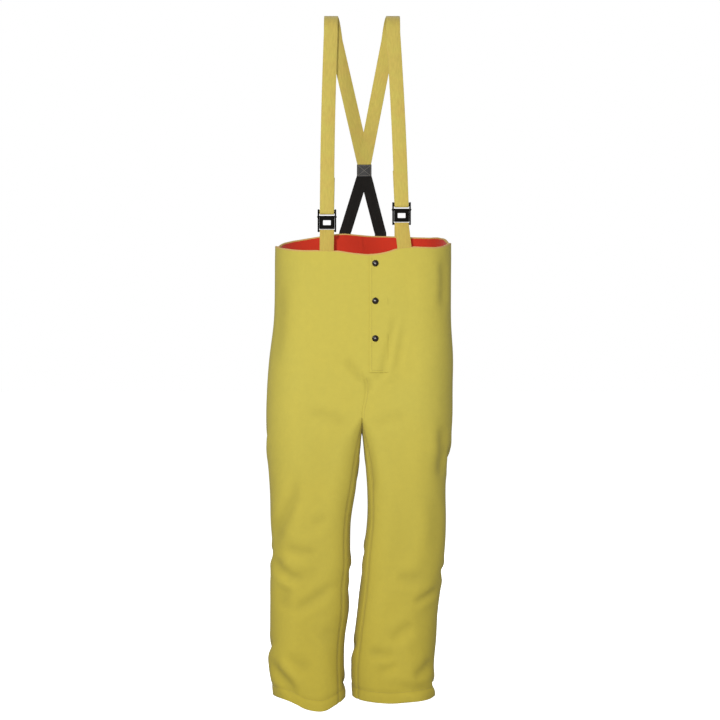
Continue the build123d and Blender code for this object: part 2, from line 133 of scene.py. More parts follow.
# Folds: the way the cloth faces there, a line of places (across, height), half width, depth, and how much the
# cloth swells beside the valley.
FOLDS = [
    ("front", [(-0.165, -1.140), (-0.172, -1.193), (-0.212, -1.267), (-0.224, -1.325)], 0.0163, 0.0058, 0.6),
    ("front", [(-0.200, -1.315), (-0.160, -1.327), (-0.112, -1.334)], 0.0150, 0.0036, 0.7),
    ("front", [(-0.230, -1.340), (-0.208, -1.373), (-0.180, -1.390), (-0.142, -1.396)], 0.0137, 0.0054, 0.7),
    ("front", [(-0.190, -1.410), (-0.200, -1.440), (-0.203, -1.480)], 0.0187, 0.0040, 0.4),
    ("front", [(-0.180, -1.483), (-0.145, -1.462), (-0.100, -1.432), (-0.075, -1.405)], 0.0137, 0.0040, 0.7),
    ("front", [(-0.130, -1.262), (-0.085, -1.238)], 0.0137, 0.0022, 0.5),
    ("front", [(-0.200, -1.590), (-0.165, -1.612), (-0.130, -1.635)], 0.0163, 0.0036, 0.6),
    ("front", [(-0.236, -1.606), (-0.215, -1.635), (-0.190, -1.660), (-0.160, -1.700)], 0.0137, 0.0072, 0.7),
    ("front", [(-0.110, -1.560), (-0.070, -1.520)], 0.0200, 0.0022, 0.4),
    ("front", [(0.085, -1.392), (0.120, -1.396), (0.155, -1.395)], 0.0150, 0.0036, 0.6),
    ("front", [(0.128, -1.459), (0.160, -1.445), (0.200, -1.424)], 0.0100, 0.0036, 0.8),
    ("front", [(0.070, -1.560), (0.100, -1.530), (0.136, -1.508)], 0.0150, 0.0043, 0.7),
    ("front", [(0.012, -1.584), (0.050, -1.590), (0.090, -1.592)], 0.0137, 0.0040, 0.7),
    ("front", [(0.038, -1.632), (0.065, -1.624), (0.096, -1.613)], 0.0125, 0.0036, 0.7),
    ("front", [(0.090, -1.668), (0.135, -1.677), (0.180, -1.672)], 0.0125, 0.0043, 0.8),
    ("front", [(0.130, -1.655), (0.160, -1.630), (0.184, -1.605)], 0.0137, 0.0043, 0.7),
    ("front", [(0.204, -1.000), (0.208, -1.070), (0.201, -1.150)], 0.014, 0.0060, 0.3),
    ("front", [(0.185, -1.180), (0.188, -1.260), (0.180, -1.340)], 0.0175, 0.0022, 0.3),
    ("front", [(0.014, -0.896), (0.036, -0.889), (0.052, -0.874), (0.060, -0.835), (0.072, -0.785),
               (0.086, -0.715)], 0.0085, 0.0027, 1.0),
    ("front", [(0.088, -0.880), (0.094, -0.820), (0.104, -0.750)], 0.010, 0.0020, 0.6),
    ("front", [(-0.040, -0.835), (-0.018, -0.870), (0.006, -0.905)], 0.013, 0.0040, 0.3),
    ("front", [(0.008, -0.885), (0.010, -0.905), (0.009, -0.925)], 0.009, 0.0034, 0.3),
    ("front", [(0.205, -0.575), (0.208, -0.640), (0.205, -0.720)], 0.012, 0.0045, 0.3),
    ("front", [(-0.205, -0.640), (-0.210, -0.760), (-0.222, -0.860)], 0.016, 0.0030, 0.3),
    ("front", [(-0.030, -1.010), (-0.080, -0.985), (-0.140, -0.972)], 0.016, 0.0025, 0.4),
    ("front", [(0.028, -1.012), (0.070, -0.990), (0.120, -0.985)], 0.016, 0.0022, 0.4),
    ("front", [(0.018, -1.050), (0.024, -1.120), (0.028, -1.190)], 0.010, 0.0025, 0.4),
    ("back", [(-0.030, -0.985), (-0.095, -1.012), (-0.180, -1.004)], 0.019, 0.0070, 0.6),
    ("back", [(0.018, -1.008), (0.070, -1.048), (0.150, -1.066)], 0.018, 0.0060, 0.6),
    ("back", [(-0.060, -0.900), (-0.130, -0.925), (-0.200, -0.905)], 0.018, 0.0045, 0.5),
    ("back", [(0.085, -0.935), (0.145, -0.968), (0.205, -0.958)], 0.021, 0.0034, 0.5),
    ("back", [(-0.205, -1.318), (-0.140, -1.346), (-0.070, -1.352)], 0.015, 0.0072, 0.7),
    ("back", [(-0.210, -1.392), (-0.130, -1.400), (-0.060, -1.378)], 0.013, 0.0070, 0.7),
    ("back", [(0.022, -1.384), (0.095, -1.392), (0.172, -1.352)], 0.014, 0.0068, 0.7),
    ("back", [(0.030, -1.420), (0.110, -1.428), (0.170, -1.404)], 0.012, 0.0060, 0.7),
    ("back", [(-0.190, -1.580), (-0.130, -1.605), (-0.080, -1.650)], 0.014, 0.0060, 0.6),
    ("back", [(0.020, -1.600), (0.080, -1.615), (0.150, -1.590)], 0.014, 0.0060, 0.6),
    ("back", [(-0.120, -0.560), (-0.115, -0.680), (-0.100, -0.820)], 0.018, 0.0030, 0.5),
    ("back", [(0.120, -0.560), (0.110, -0.690), (0.095, -0.830)], 0.018, 0.0030, 0.5),
    ("right", [(-0.040, -1.000), (0.000, -1.060), (0.040, -1.090)], 0.016, 0.0060, 0.5),
    ("right", [(0.050, -1.330), (0.000, -1.350), (-0.040, -1.335)], 0.012, 0.0060, 0.7),
    ("right", [(-0.050, -1.560), (0.000, -1.590), (0.050, -1.600)], 0.013, 0.0050, 0.6),
    ("left", [(-0.050, -1.060), (0.000, -1.110), (0.050, -1.130)], 0.014, 0.0070, 0.6),
    ("left", [(0.050, -1.370), (0.000, -1.395), (-0.045, -1.380)], 0.012, 0.0060, 0.7),
    ("left", [(-0.045, -1.660), (0.000, -1.690), (0.050, -1.680)], 0.011, 0.0060, 0.7),
]

# Levels and columns that the grid of each half is laid on.
RIM_LEVEL = -0.545
WINDOW_BOTTOM = -0.872
CROTCH_TOP = -0.985
HEM_LEVEL = -1.715
ROWS_FLY, ROWS_SEAT, ROWS_LEG = 68, 24, 152
CROTCH_ROW = ROWS_FLY + ROWS_SEAT
LAST_ROW = CROTCH_ROW + ROWS_LEG
WINDOW_END = ROWS_FLY - 1
COLUMN_STEPS = (14, 56, 70, 27, 27)
FLY_COLUMN, SIDE_COLUMN, BACK_COLUMN, INSEAM_COLUMN, RING = accumulate(COLUMN_STEPS)
STITCHED_COLUMN = RING - 3
FLAP_COLUMN = 4
FLY_REACH = 0.066
CROTCH_DIP = 0.033
INNER_ROUND = 0.070
INNER_ROUND_REACH = 0.065
SMALLEST_ROUND = 1e-5
SEAM_HALF_WIDTH = 0.0045
HEM_STITCHING = 0.027
THREAD_RADIUS = 0.00042
THREAD_LIFT = 0.0002
WEBBING_STEP = 0.004
SNAP_STEPS = 40
FLY_ROOT = "fly root"
CUT_BULGE, TURNED_BULGE = 0.45, 0.1
FACING_ROWS = 9
HEM_ROWS = 6
TONGUE_COLUMNS = 6
UNDERLAP_COLUMNS = range(2, 13)

# Layers of cloth, measured inwards from the outer surface.
SHELL = (0.0, 0.0018)
BARRIER = (0.0024, 0.0032)
LINER = (0.0038, 0.0060)
FACING = (0.0024, 0.0060)
FLAP = (-0.0027, -0.0003)
UNDERLAP = (0.0019, 0.0038)


def through(places, at):
    """A smooth curve through given places, each its position and its values, read at many points."""
    table = np.array(sorted(places), float)
    x, y = table[:, 0], table[:, 1:]
    slope = np.gradient(y, x, axis=0)
    at = np.clip(np.asarray(at, float), x[0], x[-1])
    i = np.clip(np.searchsorted(x, at, side="right") - 1, 0, len(x) - 2)
    span = (x[i + 1] - x[i])[..., None]
    t = (at - x[i])[..., None] / span
    a = (1 + 2 * t) * (1 - t) ** 2
    b = t * (1 - t) ** 2 * span
    c = t * t * (3 - 2 * t)
    d = t * t * (t - 1) * span
    return a * y[i] + b * slope[i] + c * y[i + 1] + d * slope[i + 1]


def ease(value, low, high):
    """0 below low, 1 above high, and a smooth step between."""
    t = np.clip((np.asarray(value, float) - low) / (high - low), 0, 1)
    return t * t * (3 - 2 * t)


def arc(x, y, radius, start, end, steps=14):
    """Points of an arc between two angles in degrees."""
    angles = np.radians(np.linspace(start, end, steps))
    return [(x + radius * math.cos(a), y + radius * math.sin(a)) for a in angles]


def distances_along(path):
    """How far along a polyline each of its points lies."""
    return np.concatenate([[0], np.cumsum(np.linalg.norm(np.diff(path, axis=0), axis=1))])


def read_at(places, along, wanted):
    """Places of a polyline at given distances along it."""
    return np.stack([np.interp(wanted, along, column) for column in places.T], axis=1)


def spaced(path, distances):
    """Points of a polyline at distances that depend on its length, and those distances."""
    path = np.array(path)
    along = distances_along(path)
    wanted = distances(along[-1])
    return read_at(path, along, wanted), wanted


def ring(side, height):
    """One level outline of a half: its columns' places, and how far round each lies from the front middle."""
    inner, outer = through(EDGES[side], [height])[0]
    front, back, outer_round = through(DEPTHS, [height])[0]
    below = min(0, height - CROTCH_TOP) / INNER_ROUND_REACH
    inner_round = INNER_ROUND * (1 - math.exp(below)) + SMALLEST_ROUND
    fi, fo = front + inner_round, front + outer_round
    bi, bo = back - inner_round, back - outer_round
    xi, xo = inner + inner_round, outer - outer_round
    middle = (front + back) / 2
    fly_steps, front_steps, back_steps, down_steps, up_steps = COLUMN_STEPS

    def fly_then_side(length):
        side = np.linspace(FLY_REACH, length, front_steps + 1)
        return np.concatenate([np.linspace(0, FLY_REACH, fly_steps + 1), side[1:]])

    def evenly(steps):
        return lambda length: np.linspace(0, length, steps + 1)

    front_path = [*arc(xi, fi, inner_round, 225, 270), *arc(xo, fo, outer_round, 270, 360), (outer, 0)]
    back_path = [(outer, 0), *arc(xo, bo, outer_round, 0, 90), *arc(xi, bi, inner_round, 90, 135)]
    down_path = [*arc(xi, bi, inner_round, 135, 180), (inner, middle)]
    up_path = [(inner, middle), *arc(xi, fi, inner_round, 180, 225)]
    parts, reach, start = [], [], 0.0
    for path, spread in (
        (front_path, fly_then_side), (back_path, evenly(back_steps)), (down_path, evenly(down_steps)),
        (up_path, evenly(up_steps)),
    ):
        points, wanted = spaced(path, spread)
        parts.append(points[:-1])
        reach.append(start + wanted[:-1])
        start += wanted[-1]
    points = np.concatenate(parts)
    points[:, 0] *= SIDES[side]
    return points, np.concatenate(reach), start


def fold_depths(points, normals):
    """How far the folds push each point in (negative) or out."""
    ways = {"front": (1, -1), "back": (1, 1), "left": (0, 1), "right": (0, -1)}
    total = np.zeros(points.shape[:-1])
    for way, line, half_width, depth, swell in FOLDS:
        axis, sign = ways[way]
        across = points[..., 0] if axis else points[..., 1]
        facing = ease(normals[..., axis] * sign, 0.15, 0.55)
        here = np.stack([across, points[..., 2]], axis=-1)
        line = np.array(line)
        lengths = np.linalg.norm(np.diff(line, axis=0), axis=1)
        best = np.full(total.shape, 9.0)
        signed, along = np.zeros(total.shape), np.zeros(total.shape)
        done = 0.0
        for a, b, length in zip(line, line[1:], lengths):
            way_along = (b - a) / length
            t = np.clip((here - a) @ way_along, 0, length)
            offset = here - a - t[..., None] * way_along
            distance = np.linalg.norm(offset, axis=-1)
            side = np.sign(offset[..., 0] * way_along[1] - offset[..., 1] * way_along[0])
            closer = distance < best
            best = np.where(closer, distance, best)
            signed = np.where(closer, side * distance, signed)
            along = np.where(closer, done + t, along)
            done += length
        share = along / done
        taper = ease(share, -0.05, 0.3) * (1 - ease(share, 0.7, 1.05))
        q = signed / half_width
        valley = -np.exp(-q * q)
        beside = swell * (np.exp(-((q - 1.9) / 1.1) ** 2) + 0.7 * np.exp(-((q + 2.0) / 1.2) ** 2)) / 1.7
        total += facing * taper * depth * (valley + beside)
    return total


def drape_waves(points, reach):
    """Slow swells of hanging cloth, growing towards the hems, and still near the fly."""
    x, y, z = points[..., 0], points[..., 1], points[..., 2]
    grow = 0.35 + 0.65 * ease(-z, 0.9, 1.6)
    slow = np.sin(23 * x + 3.1 * np.sin(4.3 * z + 0.7) + 1.3 * np.sin(9 * y))
    quick = np.sin(41 * x - 17 * z + 1.9) * np.sin(13 * z + 29 * y)
    third = np.sin(67 * x + 31 * y + 5 * np.sin(11 * z))
    still = 1 - (1 - ease(np.abs(x - 0.035), 0.05, 0.10)) * ease(z, -0.92, -0.88) * ease(-y, 0.08, 0.10)
    return still * (0.0016 * slow + 0.0009 * quick + 0.0005 * third) * grow


def grid_normals(points, side):
    """Outward normals of a half's grid. The trunk's rows are open at the middle, and the legs' rows close."""
    down = np.gradient(points, axis=0)
    round_it = (np.roll(points, -1, axis=1) - np.roll(points, 1, axis=1)) / 2
    trunk = slice(0, CROTCH_ROW)
    round_it[trunk, 0] = points[trunk, 1] - points[trunk, 0]
    round_it[trunk, BACK_COLUMN] = points[trunk, BACK_COLUMN] - points[trunk, BACK_COLUMN - 1]
    normals = SIDES[side] * np.cross(down, round_it)
    normals[trunk, 0, 0] = 0
    normals[trunk, BACK_COLUMN, 0] = 0
    length = np.linalg.norm(normals, axis=-1, keepdims=True)
    return normals / np.maximum(length, 1e-12)


def smoothed(points, passes):
    """The grid's places with small kinks relaxed, row ends kept."""
    for _ in range(passes):
        inner = (points[:-2] + 2 * points[1:-1] + points[2:]) / 4
        points = np.concatenate([points[:1], inner, points[-1:]])
    return points


def onto_middle(points):
    """Put the edges that the two halves share onto the middle."""
    points[: CROTCH_ROW + 1, [0, BACK_COLUMN], 0] = 0
    points[CROTCH_ROW, BACK_COLUMN:, 0] = 0


def half_grid(side):
    """The outer cloth surface of one half: points, normals, cloth coordinates and depths of fold."""
    sign = SIDES[side]
    levels = np.concatenate([
        np.linspace(RIM_LEVEL, WINDOW_BOTTOM, ROWS_FLY + 1),
        np.linspace(WINDOW_BOTTOM, CROTCH_TOP, ROWS_SEAT + 1)[1:],
        np.linspace(CROTCH_TOP, HEM_LEVEL, ROWS_LEG + 1)[1:],
    ])
    rings = [ring(side, level) for level in levels]
    flat = smoothed(np.array([r[0] for r in rings]), 3)
    reach = np.array([r[1] for r in rings])
    whole = np.array([r[2] for r in rings])
    columns = np.arange(RING)
    fronts = (columns <= SIDE_COLUMN) | (columns >= INSEAM_COLUMN)

    rim_x = flat[0, :, 0].copy()
    rim_x[[0, BACK_COLUMN]] = 0
    rim = np.where(fronts, through(FRONT_RIM, rim_x)[:, 0], through(BACK_RIM, rim_x)[:, 0])
    hem_x = flat[-1, :, 0]
    hem = np.where(fronts, through(FRONT_HEMS[side], hem_x)[:, 0], through(BACK_HEMS[side], hem_x)[:, 0])
    down_fly = np.linspace(0, 1, ROWS_FLY + 1)[:, None]
    down_leg = np.linspace(0, 1, ROWS_LEG + 1)[1:, None]
    seat = np.repeat(levels[ROWS_FLY + 1 : CROTCH_ROW + 1, None], RING, axis=1)
    height = np.concatenate([
        rim + (WINDOW_BOTTOM - rim) * down_fly,
        seat,
        CROTCH_TOP + (hem - CROTCH_TOP) * down_leg,
    ])
    inner = np.zeros(RING)
    inner[BACK_COLUMN:] = np.linspace(0, 1, RING - BACK_COLUMN, endpoint=False)
    dip = CROTCH_DIP * np.sin(np.pi * inner) ** 0.8
    below = levels[:, None] - CROTCH_TOP
    height -= dip * np.exp(np.minimum(0, below) / 0.12) * (below <= 0)
    points = np.concatenate([flat, height[..., None]], axis=-1)
    # Below the fly the front middle seam wanders to the flap's foot.
    slant = ease(height, CROTCH_TOP, -0.915) * (1 - ease(height, -0.905, -0.872)) * (points[..., 1] < 0)
    wander = 0.009 * slant * np.exp(-((points[..., 0] / 0.06) ** 2))
    onto_middle(points)
    normals = grid_normals(points, side)
    folded = fold_depths(points, normals) + drape_waves(points, reach)
    # The centre, side and inside seams and the inside leg's topstitching lie in shallow valleys.
    valleys = {
        0: 0.0007, SIDE_COLUMN: 0.0010, BACK_COLUMN: 0.0012, INSEAM_COLUMN: 0.0010, STITCHED_COLUMN: 0.0019,
    }
    for column, depth in valleys.items():
        away = np.abs(reach - reach[:, column : column + 1])
        away = np.minimum(away, whole[:, None] - away)
        groove = depth * np.exp(-((away / SEAM_HALF_WIDTH) ** 2))
        if column in (0, BACK_COLUMN):
            below_fly = 1 if column else ease(-points[..., 2], 0.88, 0.90)
            groove = groove * below_fly * ease(points[..., 2], -1.02, -0.99)
        folded = folded - groove
    above_hem = height - hem[None] - HEM_STITCHING
    folded -= 0.0019 * np.exp(-((above_hem / SEAM_HALF_WIDTH) ** 2)) * (levels[:, None] < CROTCH_TOP)
    points = points + normals * folded[..., None]
    onto_middle(points)
    points[..., 0] += wander
    normals = grid_normals(points, side)

    # Cloth coordinates run round from the front middle, backwards over the inside of the thigh.
    around = reach.copy()
    around[:, INSEAM_COLUMN:] -= whole[:, None]
    uv = np.stack([sign * around, points[..., 2]], axis=-1)
    return {
        "points": points, "normals": normals, "uv": uv, "folded": folded, "side": side, "whole": sign * whole,
    }


def panel_cells(columns, first_row=0, last_row=LAST_ROW):
    """The cells of a strip of columns: an array of [row, column here], true where there is cloth."""
    cells = np.zeros((LAST_ROW, len(columns) - 1), bool)
    cells[first_row:last_row] = True
    inner = [not (a < BACK_COLUMN and 0 < b <= BACK_COLUMN) for a, b in zip(columns, columns[1:])]
    cells[:CROTCH_ROW, np.array(inner)] = False
    return cells


FRONT_COLUMNS = [*range(INSEAM_COLUMN, RING), *range(0, SIDE_COLUMN + 1)]
BACK_COLUMNS = list(range(SIDE_COLUMN, INSEAM_COLUMN + 1))
WHOLE_COLUMNS = [*range(INSEAM_COLUMN, RING), *range(0, INSEAM_COLUMN + 1)]
FLY_CELLS = [k for k, column in enumerate(FRONT_COLUMNS[:-1]) if column < FLY_COLUMN]


def carried(piece, body):
    """Let a piece ride on a body; a piece of the fly's root only has its placing baked into its mesh."""
    if body == FLY_ROOT:
        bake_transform(piece)
    else:
        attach(piece, body)


def made_mesh(name, vertices, faces, uv, folded, finish, body):
    """An object from plain arrays, with its cloth coordinates and fold depths, carried by a body."""
    mesh = bpy.data.meshes.new(name)
    mesh.from_pydata([tuple(v) for v in vertices], [], [tuple(f) for f in faces])
    mesh.update()
    corner_vertices = np.empty(len(mesh.loops), np.int32)
    mesh.loops.foreach_get("vertex_index", corner_vertices)
    layer = mesh.uv_layers.new(name="cloth")
    layer.data.foreach_set("uv", np.asarray(uv, np.float32)[corner_vertices].ravel())
    values = mesh.attributes.new("folded", "FLOAT", "POINT")
    values.data.foreach_set("value", np.asarray(folded, np.float32))
    mesh.shade_smooth()
    mesh.set_sharp_from_angle(angle=math.radians(48))
    mesh.materials.append(finish)
    piece = bpy.data.objects.new(name, mesh)
    bpy.context.scene.collection.objects.link(piece)
    carried(piece, body)
    return piece


def thick_cloth(grids, layer, bulge):
    """Vertices, faces, coordinates and folds of a closed sheet, from strips of grid cells and its depths."""
    place, normal, flat, folded, quads = [], [], [], [], []
    count = 0
    for grid, columns, cells in grids:
        columns = np.array(columns)
        rows, wide = LAST_ROW + 1, len(columns)
        index = np.arange(rows * wide).reshape(rows, wide) + count
        j, i = np.nonzero(cells)
        cells_here = np.stack([index[j, i], index[j + 1, i], index[j + 1, i + 1], index[j, i + 1]], axis=1)
        quads.append(cells_here[:, ::-1] if grid["side"] == "right" else cells_here)
        place.append(grid["points"][:, columns].reshape(-1, 3))
        normal.append(grid["normals"][:, columns].reshape(-1, 3))
        uv = grid["uv"][:, columns]
        if columns[-1] == INSEAM_COLUMN:
            uv[:, -1, 0] += grid["whole"]
        flat.append(uv.reshape(-1, 2))
        folded.append(grid["folded"][:, columns].reshape(-1))
        count += rows * wide
    place, normal, flat, folded = (np.concatenate(v) for v in (place, normal, flat, folded))
    used, quads = np.unique(np.concatenate(quads), return_inverse=True)
    quads = quads.reshape(-1, 4)
    place, normal, flat, folded = place[used], normal[used], flat[used], folded[used]
    # Strips that meet share their places along the join.
    _, kept, same = np.unique(np.round(place, 6), axis=0, return_index=True, return_inverse=True)
    quads = same.reshape(-1)[quads]
    shared_normal = np.zeros((len(kept), 3))
    np.add.at(shared_normal, same.reshape(-1), normal)
    normal = shared_normal / np.linalg.norm(shared_normal, axis=1, keepdims=True)
    place, flat, folded = place[kept], flat[kept], folded[kept]
    n = len(kept)
    edges = np.concatenate([quads[:, [k, (k + 1) % 4]] for k in range(4)])
    _, first, uses = np.unique(np.sort(edges, axis=1), axis=0, return_index=True, return_counts=True)
    border = edges[first[uses == 1]]
    # The border's middle line stands out a little, so that a cut or turned edge is round.
    away = np.cross(place[border[:, 1]] - place[border[:, 0]], normal[border[:, 0]])
    away /= np.maximum(np.linalg.norm(away, axis=1, keepdims=True), 1e-9)
    outwards = np.zeros((n, 3))
    np.add.at(outwards, border[:, 0], away)
    np.add.at(outwards, border[:, 1], away)
    outwards /= np.maximum(np.linalg.norm(outwards, axis=1, keepdims=True), 1e-9)
    top, bottom = layer
    rim = np.unique(border)
    middle_of = np.zeros(n, int)
    middle_of[rim] = 2 * n + np.arange(len(rim))
    middle = (place - normal * (top + bottom) / 2 + outwards * (bottom - top) * bulge)[rim]
    vertices = np.concatenate([place - normal * top, place - normal * bottom, middle])
    a, b = border.T
    sides = [
        np.stack([b, a, middle_of[a], middle_of[b]], axis=1),
        np.stack([middle_of[b], middle_of[a], a + n, b + n], axis=1),
    ]
    faces = np.concatenate([quads, quads[:, ::-1] + n, *sides]).tolist()
    flat, folded = (np.concatenate([v, v, v[rim]]) for v in (flat, folded))
    return vertices, faces, flat, folded


def stands_in(piece, slot, *nodes):
    """Hide the nodes that a piece stands in for."""
    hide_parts(*nodes)


def declare_sheet(piece):
    """Read a piece's cloth coordinates and the areas of its faces, without keeping them."""
    mesh = piece.data
    uv = np.empty(len(mesh.loops) * 2, np.float32)
    mesh.uv_layers["cloth"].data.foreach_get("uv", uv)
    uv = uv.reshape(-1, 2)
    areas = np.empty(len(mesh.polygons), np.float32)
    mesh.polygons.foreach_get("area", areas)


def cloth_piece(grids, layer, slot, nodes, body="root", bulge=TURNED_BULGE):
    finishes = {"shell": shell_cloth, "liner": liner_cloth, "barrier": barrier_film}
    piece = made_mesh(f"{nodes[0]}_cloth", *thick_cloth(grids, layer, bulge), finishes[slot](), body)
    stands_in(piece, slot, *nodes)
    declare_sheet(piece)


def lofted(rings, closed):
    """Vertices and faces of a skin over rings of equal counts, which closes on itself or has end faces."""
    count, steps = len(rings), len(rings[0])
    faces = []
    for r in range(count if closed else count - 1):
        low, high = r * steps, (r + 1) % count * steps
        faces += [[low + k, low + (k + 1) % steps, high + (k + 1) % steps, high + k] for k in range(steps)]
    if not closed:
        faces += [list(range(steps))[::-1], [(count - 1) * steps + k for k in range(steps)]]
    return np.concatenate(rings), faces


def outward(piece):
    """Turn a closed piece's faces so that they all face out."""
    work = bmesh.new()
    work.from_mesh(piece.data)
    bmesh.ops.recalc_face_normals(work, faces=work.faces)
    work.to_mesh(piece.data)
    work.free()
    return piece


def swept(name, centres, across, up, profile, finish, body="root"):
    """A strip swept along a line of centres. The profile's points are (across, up) and run round it once."""
    centres, across, up = (np.asarray(v, float) for v in (centres, across, up))
    profile = np.asarray(profile, float)
    rows, wide = len(centres), len(profile)
    rings = (
        centres[:, None]
        + profile[None, :, 0, None] * across[:, None]
        + profile[None, :, 1, None] * up[:, None]
    )
    vertices, faces = lofted(rings, closed=False)
    uv = np.stack([np.tile(profile[:, 0], rows), np.repeat(distances_along(centres), wide)], axis=1)
    return outward(made_mesh(name, vertices, faces, uv, np.zeros(len(vertices)), finish, body))


def joined(name, parts, uv, finish, body):
    """One piece from several closed skins."""
    vertices, faces, count = [], [], 0
    for places, cells in parts:
        vertices.append(places)
        faces += [[count + k for k in cell] for cell in cells]
        count += len(places)
    return outward(made_mesh(name, np.concatenate(vertices), faces, uv, np.zeros(count), finish, body))


def strip_profile(width, thick, ribs=0, rib_height=0.0):
    """A flat strip's section with rounded edges, ribbed on both faces if asked."""
    steps = max(2, ribs * 4)
    x = np.linspace(-width / 2 + thick / 2, width / 2 - thick / 2, steps + 1)
    wave = rib_height * (0.5 - 0.5 * np.cos(2 * np.pi * ribs * (x - x[0]) / (x[-1] - x[0])))
    edge = [(thick / 2 * math.sin(a), thick / 2 * math.cos(a)) for a in np.radians([45, 90, 135])]
    top = [(a, thick / 2 + b - rib_height) for a, b in zip(x, wave)]
    right = [(x[-1] + a, b) for a, b in edge]
    bottom = [(a, -thick / 2 - b + rib_height) for a, b in zip(x[::-1], wave[::-1])]
    left = [(x[0] - a, -b) for a, b in edge]
    return (top + right + bottom + left)[::-1]


def webbing(name, line, facing, width, thick, finish, ribs=0, rib_height=0.0):
    """Webbing along a smooth line of places, with the way its face looks given at each place."""
    line, facing = np.array(line, float), np.array(facing, float)
    along = distances_along(line)
    at = np.linspace(0, along[-1], int(along[-1] / WEBBING_STEP))
    table = through([(a, *p, *f) for a, p, f in zip(along, line, facing)], at)
    centres, face = table[:, :3], table[:, 3:]
    tangent = np.gradient(centres, axis=0)
    tangent /= np.linalg.norm(tangent, axis=1, keepdims=True)
    face = face - (face * tangent).sum(axis=1, keepdims=True) * tangent
    face /= np.linalg.norm(face, axis=1, keepdims=True)
    across = np.cross(face, tangent)
    return swept(name, centres, across, face, strip_profile(width, thick, ribs, rib_height), finish)


def between(a, b, count):
    """Evenly spaced places from a to b, both ends in."""
    a, b = np.array(a, float), np.array(b, float)
    return [tuple(a + (b - a) * t) for t in np.linspace(0, 1, count)]


def on_grid(grid, rows, columns):
    """Points and normals of a grid at fractional rows and columns."""
    rows, columns = np.broadcast_arrays(np.asarray(rows, float), np.asarray(columns, float))
    j = np.clip(np.floor(rows).astype(int), 0, LAST_ROW - 1)
    i = np.floor(columns).astype(int)
    s, t = (rows - j)[:, None], (columns - i)[:, None]
    found = []
    for values in (grid["points"], grid["normals"]):
        a, b = values[j, i % RING], values[j, (i + 1) % RING]
        c, d = values[j + 1, i % RING], values[j + 1, (i + 1) % RING]
        found.append((a * (1 - t) + b * t) * (1 - s) + (c * (1 - t) + d * t) * s)
    return found


def stitch_rows(name, runs, finish, body="root", pitch=0.0042, length=0.0031):
    """Rows of thread stitches, each a small rounded bar, along lines of points with their normals."""
    around = np.radians(np.arange(0, 360, 60))
    bar = [(-0.5, 0.35), (-0.38, 0.9), (0.38, 0.9), (0.5, 0.35)]
    rings = [[(t, r * math.cos(a), r * math.sin(a)) for a in around] for t, r in bar]
    shape, corner = lofted(np.array(rings), closed=False)
    vertices, faces, uv = [], [], []
    for points, normals in runs:
        points, normals = np.asarray(points), np.asarray(normals)
        along = distances_along(points)
        starts = np.arange(pitch / 2, along[-1], pitch)
        place, normal = read_at(points, along, starts), read_at(normals, along, starts)
        tangent = read_at(points, along, starts + pitch / 3) - read_at(points, along, starts - pitch / 3)
        tangent /= np.maximum(np.linalg.norm(tangent, axis=1, keepdims=True), 1e-9)
        side = np.cross(normal, tangent)
        for p, t, s, n in zip(place, tangent, side, normal):
            base = len(vertices) * len(shape)
            round_it = shape[:, 1:2] * s * THREAD_RADIUS + shape[:, 2:] * n * THREAD_RADIUS
            vertices.append(p + n * THREAD_LIFT + shape[:, :1] * t * length + round_it)
            faces += [[base + k for k in c] for c in corner]
            uv.append(np.stack([shape[:, 1] * THREAD_RADIUS, shape[:, 0] * length], axis=1))
    vertices, uv = np.concatenate(vertices), np.concatenate(uv)
    return outward(made_mesh(name, vertices, faces, uv, np.zeros(len(vertices)), finish, body))


def turned(name, places, outline, finish, body, way):
    """Round pieces of one outline (radius, height), one at each place, facing along Y."""
    angles = np.linspace(0, 2 * np.pi, SNAP_STEPS, endpoint=False)
    cos, sin = np.cos(angles), np.sin(angles)
    parts, uv = [], []
    for x, y, z in places:
        rings = [
            np.stack([x + radius * cos, 0 * cos + y + way * height, z - way * radius * sin], axis=1)
            for radius, height in outline
        ]
        parts.append(lofted(rings, closed=False))
        uv += [np.stack([radius * cos, radius * sin], axis=1) for radius, _ in outline]
    return joined(name, parts, np.concatenate(uv), finish, body)


class Wire:
    """A value in a shader: arithmetic on it adds Math nodes."""

    def __init__(self, tree, socket):
        self.tree = tree
        self.socket = socket

    def math(self, operation, *others):
        node = self.tree.nodes.new("ShaderNodeMath")
        node.operation = operation
        for socket, value in zip(node.inputs, others):
            if isinstance(value, Wire):
                self.tree.links.new(value.socket, socket)
            else:
                socket.default_value = value
        return Wire(self.tree, node.outputs[0])

    def __add__(self, other):
        return self.math("ADD", self, other)

    def __radd__(self, other):
        return self.math("ADD", other, self)

    def __sub__(self, other):
        return self.math("SUBTRACT", self, other)

    def __rsub__(self, other):
        return self.math("SUBTRACT", other, self)

    def __mul__(self, other):
        return self.math("MULTIPLY", self, other)

    def __rmul__(self, other):
        return self.math("MULTIPLY", other, self)

    def sin(self):
        return self.math("SINE", self)

    def bounded(self, low, high):
        return self.math("MINIMUM", self.math("MAXIMUM", self, low), high)


